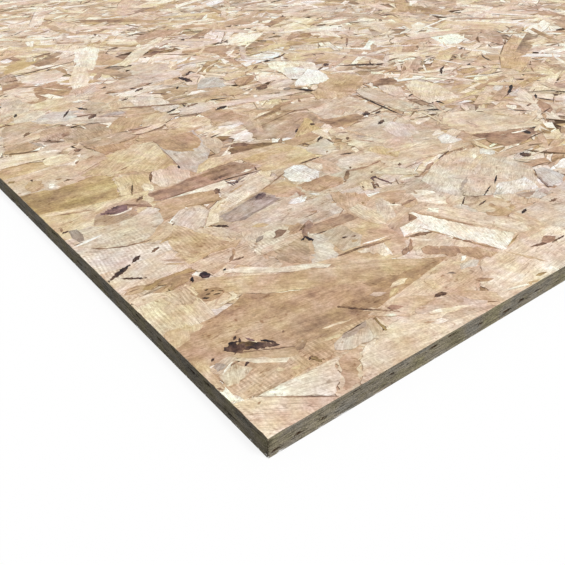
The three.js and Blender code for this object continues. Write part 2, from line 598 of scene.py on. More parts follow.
@dataclass(frozen=True)
class StrandFinish:
    """The wood of one face: its tones, its grain, how far its screen imprint shows, and the shade painted
    at strands' rims, beside them and deep in the mat.

    A pair of levels says what a colour is multiplied by where an effect is absent, and where it is
    full. The ragged pair turns noise into how far, in millimetres, a strand's soft rim strays.
    Scales are for each metre, and depths and heights are shares of the relief.
    """

    name: str
    palette: WoodPalette
    roughness: float = 0.72
    imprint: float = 0.18
    feather: float = 0.28
    streak: tuple[float, float] = (0.92, 1.05)
    fibre: tuple[float, float] = (0.85, 1.14)
    crack: tuple[float, float] = (1.0, 0.6)
    grit: tuple[float, float] = (0.87, 1.12)
    # painted shade: the level on the dark line along a strand's rim, and the level inside it
    rim: tuple[float, float] = (0.84, 1.0)
    # painted shadow: the level on the dark strip beside a strand's side
    gap: tuple[float, float] = (1.0, 0.3)
    # painted shade: the level deep in the mat, reached between the two depths below
    deep_shade: tuple[float, float] = (1.0, 0.5)
    deep_shade_from_mm: float = 0.8
    deep_shade_to_mm: float = 1.3
    sawn: Colour = srgb(150, 139, 122)
    pit: Colour = (0.62, 0.5, 0.42, 1.0)
    browning: tuple[float, float, float] = (0.85, 1.0, 1.12)
    relief_mm: float = 0.06
    screen_depth: float = 0.4
    fibre_height: float = 0.5
    ring_height: float = 0.3
    band_tone: float = 0.16
    blotch_tone: float = 0.12
    blotch_hue: float = 0.3
    own_blush: float = 0.3
    common_tone: float = 0.68
    common_stain: float = 0.3
    ragged: tuple[float, float] = (3.0, -1.4)
    ragged_scale: float = 420.0
    grit_scale: float = 520.0
    # the scale of the noise that breaks up the painted shade along the rims
    edge_shade_scale: float = 90.0
    stain: Drift = Drift(30.0, 5.0, 0.0, 0.12)
    pitting: Drift = Drift(22.0, 2.0, 13.0)
    tone_drifts: tuple[Drift, ...] = (Drift(6.0, 2.0, 5.0, 0.08), Drift(120.0, 3.0, 21.0, 0.13))
    hue_drifts: tuple[Drift, ...] = (
        Drift(60.0, 1.0, 3.0, 0.5), Drift(16.0, 1.0, 9.0, 0.5), Drift(6.0, 1.0, 4.0, 0.4),
    )
    blush_drifts: tuple[Drift, ...] = (Drift(18.0, 2.0, 31.0, 0.45), Drift(70.0, 1.0, 41.0, 0.25))

    def build(self, groups: dict[str, bpy.types.NodeTree]) -> bpy.types.Material:
        """Makes the material.

        Args:
            groups: The shared shader groups by name.

        Returns:
            The material.
        """
        material = bpy.data.materials.new(self.name)
        graph = open_tree(material)
        place = graph.add("ShaderNodeTexCoord").outputs["Object"]
        grain = graph.attribute("grain", "Vector")
        chance = graph.attribute("chance")
        feeds = {"Grain": grain, "Chance": chance}
        lines = graph.add("ShaderNodeGroup", feeds, node_tree=groups["grain"]).outputs
        feeds = {"Share": graph.attribute("ribs")}
        screen = graph.add("ShaderNodeGroup", feeds, node_tree=groups["screen"]).outputs["Imprint"]
        _, _, rim = graph.separate(grain)
        woods = self.woods(graph, place, lines, chance, rim)
        base = graph.add("ShaderNodeGroup", woods, node_tree=groups[self.palette.name])
        colour = self.figured(graph, base.outputs["Color"], place, lines)
        colour = self.painted_edge_shade(graph, colour, place, rim)
        colour = self.dim(graph, colour, graph.math("MULTIPLY_ADD", screen, -self.imprint, 1.0))
        sawn = graph.math("LESS_THAN", graph.side_distance(place), (SAW_INSET + 0.01) * MM)
        colour = graph.mix(sawn, colour, self.sawn)
        pressed = graph.math("MULTIPLY", screen, -self.screen_depth)
        raised = ((lines["Fibre"], self.fibre_height), (lines["Streak"], self.ring_height))
        relief = graph.gathered(pressed, raised)
        cover(graph, colour, self.roughness, relief, self.relief_mm)
        return material

    def woods(
        self, graph: Graph, place: Socket, lines: bpy.types.NodeOutputs, chance: Socket, rim: Socket
    ) -> dict[str, Socket]:
        """Settles which wood each spot is: a strand's own, which melts into its neighbours' at its rim.

        Args:
            graph: The material's graph.
            place: The spot on the face.
            lines: The strand's grain.
            chance: The strand's own number.
            rim: How far inside the strand's rim the spot lies, in millimetres.

        Returns:
            The wood's tone, hue and blush.
        """

        def read(drifts: Iterable[Drift]) -> list[tuple[Socket, float]]:
            """Reads drifts, each with its share."""
            return [(drift.read(graph, place), drift.share) for drift in drifts]

        band = graph.math("SUBTRACT", lines["Band"], 0.5)
        blotch = graph.math("SUBTRACT", lines["Mottle"], 0.5)
        own = graph.math("FRACT", graph.math("MULTIPLY", chance, SECOND_CHANCE))
        own = graph.math("SUBTRACT", own, 0.5)
        stain = self.stain.read(graph, place)
        tones = [(band, self.band_tone), (stain, self.stain.share), (blotch, self.blotch_tone)]
        tone = graph.gathered(graph.attribute("tone"), [*tones, *read(self.tone_drifts)])
        hues = [(blotch, self.blotch_hue), *read(self.hue_drifts)]
        hue = graph.gathered(graph.attribute("hue"), hues)
        blushes = [(own, self.own_blush), *read(self.blush_drifts)]
        blush = graph.gathered(graph.attribute("blush"), blushes)
        ragged = graph.noise(place, self.ragged_scale, 2.0, 0.6)
        ragged = graph.math("MULTIPLY_ADD", ragged, *self.ragged)
        feather = graph.remap(graph.math("ADD", rim, ragged), 1.0, 0.0, 0.0, self.feather)
        feather = graph.math("MULTIPLY", feather, graph.attribute("soft"))
        common = graph.math("MULTIPLY_ADD", stain, self.common_stain, self.common_tone)
        return {"Tone": graph.between(feather, tone, common), "Hue": hue, "Blush": blush}

    def dim(self, graph: Graph, colour: Socket, level: Socket) -> Socket:
        """Multiplies a colour by a level. It grows browner as it darkens, as wood does."""
        levels = [graph.math("POWER", level, power) for power in self.browning]
        return graph.times(colour, graph.combine(*levels))

    def shade(self, graph: Graph, colour: Socket, amount: Socket, levels: tuple[float, float]) -> Socket:
        """Multiplies a colour by a level that follows an effect's amount."""
        return self.dim(graph, colour, graph.remap(amount, 0.0, 1.0, *levels))

    def figured(self, graph: Graph, colour: Socket, place: Socket, lines: bpy.types.NodeOutputs) -> Socket:
        """Draws the wood's figure: growth rings, fibres, dents, splits and grit.

        Args:
            graph: The material's graph.
            colour: The plain wood's colour.
            place: The spot on the face.
            lines: The strand's grain.

        Returns:
            The figured colour.
        """
        colour = self.shade(graph, colour, lines["Streak"], self.streak)
        colour = self.shade(graph, colour, lines["Fibre"], self.fibre)
        pitted = graph.remap(self.pitting.read(graph, place), -0.1, 0.3, 0.3, 1.0)
        pitted = graph.math("MULTIPLY", lines["Pit"], pitted)
        colour = graph.mix(pitted, colour, graph.times(colour, self.pit))
        colour = self.shade(graph, colour, lines["Crack"], self.crack)
        grit = graph.remap(graph.noise(place, self.grit_scale, 3.0, 0.75), *NOISE_SPAN)
        return self.shade(graph, colour, grit, self.grit)

    def painted_edge_shade(self, graph: Graph, colour: Socket, place: Socket, rim: Socket) -> Socket:
        """Paints shade: a dark line along the strand's rim, a dark strip beside it, and more shade deep in
        the mat.

        Args:
            graph: The material's graph.
            colour: The figured colour.
            place: The spot on the face.
            rim: How far inside the strand's rim the spot lies, in millimetres.

        Returns:
            The darkened colour.
        """
        # painted shade: a dark line along the rim, broken up by noise
        whole = graph.remap(graph.noise(place, self.edge_shade_scale, 2.0), 0.4, 0.6)
        whole = graph.math("ADD", whole, graph.remap(rim, 0.1, 0.8))
        colour = self.shade(graph, colour, whole, self.rim)
        # painted shadow on the strip beside a strand, where the rim runs below zero
        colour = self.shade(graph, colour, graph.remap(rim, 0.0, -0.3), self.gap)
        # painted shade: darker the deeper a spot lies under the nearer face
        _, _, height = graph.separate(place)
        middle = CAD_BOX[1].z / 2
        aside = graph.math("ABSOLUTE", graph.math("SUBTRACT", height, middle))
        depth = graph.math("SUBTRACT", middle, aside)
        deep_shade = graph.remap(depth, self.deep_shade_from_mm * MM, self.deep_shade_to_mm * MM)
        return self.shade(graph, colour, deep_shade, self.deep_shade)


@dataclass(frozen=True)
class EdgeFinish:
    """The sawn edge: strands cut across and along, grey-brown and matt.

    The first pairs say what each effect adds to the tone, or to the hue, at its least and at its
    most. Scales are for each metre. The last pairs say from where to where, inside the sheet's
    sides, painted shade turns a void brown and dark.
    """

    name: str
    palette: WoodPalette
    roughness: float = 0.85
    fibre: tuple[float, float] = (-0.2, 0.18)
    grit: tuple[float, float] = (-0.2, 0.19)
    stain: tuple[float, float] = (-0.06, 0.06)
    dash: tuple[float, float] = (0.0, -0.45)
    hue: tuple[float, float] = (-1.0, 0.3)
    fibre_scale: float = 520.0
    grit_scale: float = 1100.0
    stain_scale: float = 45.0
    dash_scale: float = 210.0
    dash_span: tuple[float, float] = (0.62, 0.72)
    drift_scale: float = 60.0
    # painted shade: from where to where inside the sides a void turns browner, and then darker
    browned_mm: tuple[float, float] = (0.25, 1.2)
    dark_mm: tuple[float, float] = (0.8, 4.0)
    darkest: float = 0.3
    seam: float = 0.82
    # painted shade: the brown that a void's colour is multiplied by
    deep: Colour = (0.5, 0.33, 0.17, 1.0)
    # painted shade: the dark brown of the core's upper face, which shows through gaps between the top
    # strands
    under: Colour = srgb(92, 70, 52)
    beneath: Colour = srgb(172, 143, 116)
    relief_mm: float = 0.12

    def build(self, groups: dict[str, bpy.types.NodeTree]) -> bpy.types.Material:
        """Makes the material.

        Args:
            groups: The shared shader groups by name.

        Returns:
            The material.
        """
        material = bpy.data.materials.new(self.name)
        graph = open_tree(material)
        place = graph.add("ShaderNodeTexCoord").outputs["Object"]
        tone, chance, rim = graph.separate(graph.attribute("cut", "Vector"))
        x, y, z = graph.separate(place)
        apart = graph.math("MULTIPLY", chance, 50.0 * MM)
        layered = graph.combine(graph.math("ADD", x, apart), y, graph.math("MULTIPLY", z, 4.0))
        fibre = graph.noise(layered, self.fibre_scale, 4.0, 0.7)
        grit = graph.noise(place, self.grit_scale, 2.0, 0.7)
        stain = graph.noise(place, self.stain_scale, 3.0, 0.6)
        moved = graph.vector("ADD", layered, (5.0, 3.0, 0.0))
        dash = graph.noise(moved, self.dash_scale, 2.0, 0.6)
        for speck, span, tones in (
            (fibre, FINE_SPAN, self.fibre), (grit, NOISE_SPAN, self.grit),
            (stain, NOISE_SPAN, self.stain), (dash, self.dash_span, self.dash),
        ):
            tone = graph.math("ADD", tone, graph.remap(speck, *span, *tones))
        drift = graph.remap(graph.noise(place, self.drift_scale, 2.0), *NOISE_SPAN, *self.hue)
        woods = {"Tone": tone, "Hue": graph.math("MULTIPLY_ADD", chance, 0.8, drift)}
        base = graph.add("ShaderNodeGroup", woods, node_tree=groups[self.palette.name])
        seam = graph.remap(rim, 0.0, 0.3, self.seam, 1.0)
        colour = graph.times(base.outputs[0], graph.combine(seam, seam, seam))
        colour = self.paint_hollow_shade(graph, colour, graph.side_distance(place))
        cover(graph, colour, self.roughness, fibre, self.relief_mm)
        return material

    def paint_hollow_shade(self, graph: Graph, colour: Socket, inside: Socket) -> Socket:
        """Paints shade into the voids, browner and darker the deeper inside, and colours the core's two
        flat faces: the upper one dark brown, as painted shade seen through gaps between the strands, the
        lower one like its strands.

        Args:
            graph: The material's graph.
            colour: The sawn wood's colour.
            inside: How far inside the nearest side of the sheet the spot lies, in metres.

        Returns:
            The colour with its painted shade.
        """
        # painted shade in the voids: browner, then darker, the farther inside the sides
        browned = graph.remap(inside, *(reach * MM for reach in self.browned_mm))
        colour = graph.mix(browned, colour, graph.times(colour, self.deep))
        level = graph.remap(inside, *(reach * MM for reach in self.dark_mm), 1.0, self.darkest)
        colour = graph.times(colour, graph.combine(level, level, level))
        # the upper face takes the dark brown of painted shade, the lower one a strand's tan
        _, _, facing = graph.separate(graph.add("ShaderNodeNewGeometry").outputs["Normal"])
        lid = graph.mix(graph.remap(facing, -0.5, 0.5), self.beneath, self.under)
        flat = graph.remap(graph.math("ABSOLUTE", facing), 0.9, 0.99)
        return graph.mix(flat, colour, lid)


# ---------------------------------------------------------------------------------------------
# Strands
# ---------------------------------------------------------------------------------------------


@dataclass(frozen=True)
class StrandKind:
    """One kind of strand: how large it is cut and how it lies. Lengths are in millimetres.

    The last three say how far it sinks round the placed strands, within what reach of their corner
    of the sheet, and over what distance that fades out.
    """

    name: str
    shapes: int
    length: tuple[float, float]
    width: tuple[float, float]
    thickness: float
    side_points: int
    end_points: int
    spine_points: int
    skew: float
    jag: float
    per_square_metre: float
    spacing: float
    depth: tuple[float, float]
    turn: float
    tilt: float
    tone: tuple[float, float]
    # painted shadow: the width of a flat dark strip beside one side of the strand, and the share of strands
    # that have one
    shadow_lip: tuple[float, float] = (0.3, 1.0)
    shadow_lipped: float = 0.5
    bow: float = 0.01
    stray: float = 0.15
    hue: float = 0.9
    yields: tuple[float, float, float] = (0.46, 800, 100)


BED = StrandKind(
    name="bed", shapes=14, length=(90, 160), width=(35, 60), thickness=0.4, side_points=1,
    end_points=0, spine_points=1, skew=0.5, jag=3.0, per_square_metre=420, spacing=24.0,
    depth=(0.62, 0.9), turn=90.0, tilt=0.0, tone=(0.3, 0.95),
)
BROAD = StrandKind(
    name="broad", shapes=40, length=(50, 150), width=(14, 46), thickness=0.35, side_points=2,
    end_points=1, spine_points=2, skew=0.8, jag=5.0, per_square_metre=1200, spacing=14.0,
    depth=(0.08, 0.6), turn=90.0, tilt=0.2, tone=(0.29, 1.14), shadow_lip=(0.5, 1.8), shadow_lipped=0.6,
    yields=(0.58, 420, 300),
)
MEDIUM = StrandKind(
    name="medium", shapes=40, length=(22, 90), width=(4, 15), thickness=0.3, side_points=1,
    end_points=1, spine_points=1, skew=1.0, jag=4.0, per_square_metre=1700, spacing=7.0,
    depth=(0.04, 0.45), turn=90.0, tilt=0.4, tone=(0.27, 1.14), shadow_lip=(0.5, 1.6), shadow_lipped=0.6,
    bow=0.015, hue=0.8, yields=(0.58, 260, 380),
)
SLIVER = StrandKind(
    name="sliver", shapes=36, length=(8, 48), width=(1.2, 5), thickness=0.2, side_points=2,
    end_points=-1, spine_points=1, skew=1.0, jag=2.0, per_square_metre=2200, spacing=0.0,
    depth=(0.0, 0.34), turn=90.0, tilt=0.6, tone=(0.34, 1.04), shadow_lip=(0.4, 1.1), shadow_lipped=0.4, bow=0.04,
    stray=0.05, hue=0.5, yields=(0.58, 240, 260),
)
# painted shade: thin dark slivers for the gaps and splits between strands
SPLIT = StrandKind(
    name="split", shapes=36, length=(6, 42), width=(0.7, 2.3), thickness=0.2, side_points=2,
    end_points=-1, spine_points=1, skew=1.0, jag=2.0, per_square_metre=660, spacing=0.0,
    depth=(0.0, 0.25), turn=90.0, tilt=0.3, tone=(0.0, 0.48), bow=0.06, hue=0.4,
    yields=(0.58, 260, 240),
)
FLECK = StrandKind(
    name="fleck", shapes=18, length=(4, 15), width=(0.8, 3), thickness=0.25, side_points=2,
    end_points=-1, spine_points=1, skew=1.0, jag=0.8, per_square_metre=130, spacing=0.0,
    depth=(0.0, 0.1), turn=120.0, tilt=0.3, tone=(0.0, 0.34), stray=0.2, hue=0.3,
    yields=(0.58, 360, 200),
)
ALL_KINDS = (BED, BROAD, MEDIUM, SLIVER, SPLIT, FLECK)
CRISP_WIDTH = 5.0
SOFT_WIDTH = 19.0


def softness(width: float) -> float:
    """How far a strand's edge melts into its surroundings: narrow strands stay crisp.

    Args:
        width: The strand's width in millimetres.

    Returns:
        The softness, from 0 to 1.
    """
    return min(max((width - CRISP_WIDTH) / (SOFT_WIDTH - CRISP_WIDTH), 0.0), 1.0)


class StrandShaper:
    """Cuts the outlines that a kind of strand comes in, as closed thin slabs. In millimetres."""

    TAPERS = (1.0, 0.85, 0.6, 0.3)
    TAPER_ODDS = (0.4, 0.3, 0.2, 0.1)
    WAVE = 0.07
    SPINE_SHARE = 0.8
    CROWN = 0.06
    SHADOW_LIP_DROP = 0.04
    LEAST_SHADOW_LIP = 0.05
    TIP_STRAY = 0.6
    CORNER_JAG = 0.4

    def __init__(self, kind: StrandKind, seed: int) -> None:
        """Sets up the cutter.

        Args:
            kind: The kind of strand.
            seed: What the chances start from.
        """
        self.kind = kind
        self.chance = np.random.default_rng(seed)

    def outline(self) -> tuple[np.ndarray, np.ndarray, float]:
        """Draws one strand seen from above.

        Returns:
            Its outline, counter-clockwise, and its spine, both as rows of along and across, and its
            width.
        """
        kind, chance = self.kind, self.chance
        length = chance.uniform(*kind.length)
        width = chance.uniform(*kind.width)
        bow = chance.normal(0, kind.bow) * length
        tapers = chance.choice(self.TAPERS, size=2, p=self.TAPER_ODDS)
        skews = chance.uniform(-kind.skew, kind.skew, size=2)

        def half_width(share: float) -> float:
            """Half the strand's width at a share of its length."""
            nearer = tapers[0] if share < 0.5 else tapers[1]
            return width / 2 * (nearer + (1 - nearer) * (1 - abs(2 * share - 1) ** 2))

        def bend(share: float) -> float:
            """How far the strand bows aside at a share of its length."""
            return bow * (1 - (2 * share - 1) ** 2)

        points: list[tuple[float, float]] = []
        for side, end in ((-1, 1), (1, 0)):
            shares = np.linspace(0, 1, kind.side_points + 2)[1:-1]
            shares = shares if side < 0 else shares[::-1]
            for share in shares:
                wave = 1 + chance.normal(0, self.WAVE)
                points.append((length * (share - 0.5), side * half_width(share) * wave + bend(share)))
            across = np.linspace(-1, 1, kind.end_points + 2) * (1 if end else -1)
            if kind.end_points < 0:
                across = chance.uniform(-self.TIP_STRAY, self.TIP_STRAY, 1)
            for place in across:
                jag = self.CORNER_JAG + (1 - self.CORNER_JAG) * (1 - abs(place))
                reach = length / 2 - abs(chance.normal(0, kind.jag)) * jag
                along = reach + place * skews[end] * width / 2 * (1 if end else -1)
                points.append((along * (1 if end else -1), place * half_width(float(end))))
        shares = (np.arange(kind.spine_points) + 0.5) / kind.spine_points
        spine = [(length * self.SPINE_SHARE * (s - 0.5), bend(s)) for s in shares]
        return np.array(points), np.array(spine), width

    def mesh(self, name: str) -> bpy.types.Mesh:
        """Makes one strand: a top crowned along its spine, over a keel like a flat boat's, with a flat
        strip beside one side that takes painted shadow.

        Args:
            name: The mesh's name.

        Returns:
            The mesh, with its grain distances stored at its points.
        """
        outline, spine, width = self.outline()
        count, ridge, shadow_lip_points = len(outline), len(spine), self.kind.side_points
        # painted shadow: how wide the flat strip beside one side is
        gap = self.chance.uniform(*self.kind.shadow_lip) * (self.chance.random() < self.kind.shadow_lipped)
        gap = max(gap, self.LEAST_SHADOW_LIP)
        points = [(u * MM, v * MM, 0.0) for u, v in outline]
        points += [(u * MM, v * MM, self.CROWN * MM) for u, v in spine]
        points += [(u * MM, (v - gap) * MM, -self.SHADOW_LIP_DROP * MM) for u, v in outline[:shadow_lip_points]]
        points.append((0.0, 0.0, -self.kind.thickness * MM))
        shadow_lip = count + ridge
        keel = shadow_lip + shadow_lip_points
        nearest = [int(np.argmin(np.abs(spine[:, 0] - u))) for u, _ in outline]
        faces: list[tuple[int, ...]] = []
        for here in range(count):
            after = (here + 1) % count
            first, second = count + nearest[here], count + nearest[after]
            faces.append((here, after, first))
            if first != second:
                faces.append((after, second, first))
            outer = shadow_lip + here if here < shadow_lip_points else here
            outer_after = shadow_lip + after if after < shadow_lip_points else after
            faces.append((outer_after, outer, keel))
            if outer != here or outer_after != after:
                faces.append(tuple(dict.fromkeys((outer, outer_after, after, here))))
        mesh = bpy.data.meshes.new(name)
        mesh.from_pydata(points, [], faces)
        rows = [(u, v, 0.0) for u, v in outline]
        rows += [(u, v, width / 2) for u, v in spine]
        # a rim of -1 marks the strip, which the finish paints as shadow
        rows += [(u, v - gap, -1.0) for u, v in outline[:shadow_lip_points]]
        rows.append((0.0, 0.0, 0.0))
        store_values(mesh, "grain", rows)
        store_values(mesh, "soft", np.full(len(points), softness(width)))
        return mesh

    def collection(self) -> bpy.types.Collection:
        """Cuts every shape of the kind.

        Returns:
            A collection, outside the scene, of one object a shape.
        """
        made = bpy.data.collections.new(f"{self.kind.name}_strands")
        for index in range(self.kind.shapes):
            name = f"{self.kind.name}_{index:02d}"
            made.objects.link(bpy.data.objects.new(name, self.mesh(name)))
        return made


class Tint(Enum):
    """The woods of the placed strands, each as a tone from 0 to 1, a hue from -2 to 1 and a blush.

    The hue runs from slate grey to golden, and the blush from green, below zero, to purple. The
    darkest tints serve for bark and knots, and also for thin dark lenses that paint the shade in
    gaps and slits between strands.
    """

    SOOT = (0.04, -0.3, 0.3)
    BARK = (0.1, 0.0, 0.1)
    INK = (0.13, -1.3, 1.1)
    STEEL = (0.16, -2.0, 0.8)
    MOSS = (0.17, 1.0, -0.1)
    UMBER = (0.22, 0.05, 0.1)
    COCOA = (0.3, 0.0, 0.2)
    RUST = (0.28, 0.9, 0.0)
    PLUM = (0.34, -0.2, 0.35)
    BROWN = (0.36, 0.1, 0.0)
    SLATE = (0.38, -1.7, 0.0)
    OLIVE = (0.43, 0.7, -0.2)
    FAWN = (0.44, 0.22, 0.0)
    ASH = (0.46, -1.3, 0.1)
    DUSK = (0.47, -0.43, -0.1)
    CAMEL = (0.5, 0.2, 0.0)
    ROSE = (0.5, -0.05, -0.15)
    SMOKE = (0.5, -1.4, 0.1)
    ORANGE = (0.54, 0.95, -0.15)
    TAN = (0.57, 0.27, -0.1)
    LILAC = (0.58, -0.55, -0.15)
    HONEY = (0.61, 0.75, 0.0)
    SAND = (0.64, 0.05, -0.15)
    BLUSH = (0.65, -0.17, -0.1)
    WHEAT = (0.67, 0.4, -0.1)
    HAZE = (0.68, -1.3, -0.1)
    PEARL = (0.7, -0.45, -0.08)
    BEIGE = (0.73, 0.0, -0.05)
    DEW = (0.74, -0.9, -0.35)
    STRAW = (0.76, 0.45, 0.0)
    MIST = (0.76, -0.45, 0.0)
    CREAM = (0.83, 0.0, -0.1)
    FROST = (0.87, -1.2, -0.1)
    PALE = (0.91, -0.25, -0.15)
    IVORY = (1.02, 0.35, -0.1)
    WHITE = (1.22, -0.6, -0.12)


@dataclass(frozen=True)
class PlacedStrand:
    """One strand near the front left corner, whose place and outline are given one by one.

    The outline is in millimetres along and across the sheet from that corner. The grain is in
    degrees from the sheet's length. A strand of a higher layer lies over those of lower ones, and
    within a layer an earlier strand lies over a later one. Each place in the list also takes a
    strand a little deeper, so layers 5 and 6 are for the later ones. Ribs tell how strongly the
    screen is printed on it.
    """

    tint: Tint
    grain: float
    layer: int
    outline: tuple[Point, ...]
    ribs: float = 0.35


def plate(tint: Tint, grain: float, layer: int, *outline: Point, ribs: float = 0.35) -> PlacedStrand:
    """Makes a placed strand from the corners of its outline.

    Args:
        tint: Its wood.
        grain: Its grain's angle, in degrees.
        layer: Its layer.
        outline: Its corners, in millimetres from the sheet's corner.
        ribs: How strongly the screen is printed on it.

    Returns:
        The strand.
    """
    return PlacedStrand(tint, grain, layer, outline, ribs)


LENS_SHAPE = ((0.0, 0.0), (0.3, -0.85), (0.62, -1.0), (1.0, 0.0), (0.7, 0.9), (0.35, 0.95))
FULL_LENS_SHAPE = (
    (0.0, 0.2), (0.03, -0.9), (0.5, -1.0), (0.97, -0.8), (1.0, 0.2), (0.96, 1.0), (0.5, 0.9), (0.05, 1.0),
)


def lens(
    tint: Tint, layer: int, start: Point, end: Point, width: float, full: bool = False
) -> PlacedStrand:
    """Makes a placed strand that is pointed at both ends.

    Args:
        tint: Its wood.
        layer: Its layer.
        start: Its first point, in millimetres from the corner.
        end: Its last point.
        width: Its greatest width.
        full: Whether it keeps that width almost to its ends.

    Returns:
        The strand, with its grain along it.
    """
    first, last = Vector(start), Vector(end)
    run = last - first
    aside = Vector((-run.y, run.x)).normalized() * width / 2
    shape = FULL_LENS_SHAPE if full else LENS_SHAPE
    outline = tuple(tuple(first + run * along + aside * across) for along, across in shape)
    return PlacedStrand(tint, math.degrees(math.atan2(run.y, run.x)), layer, outline)
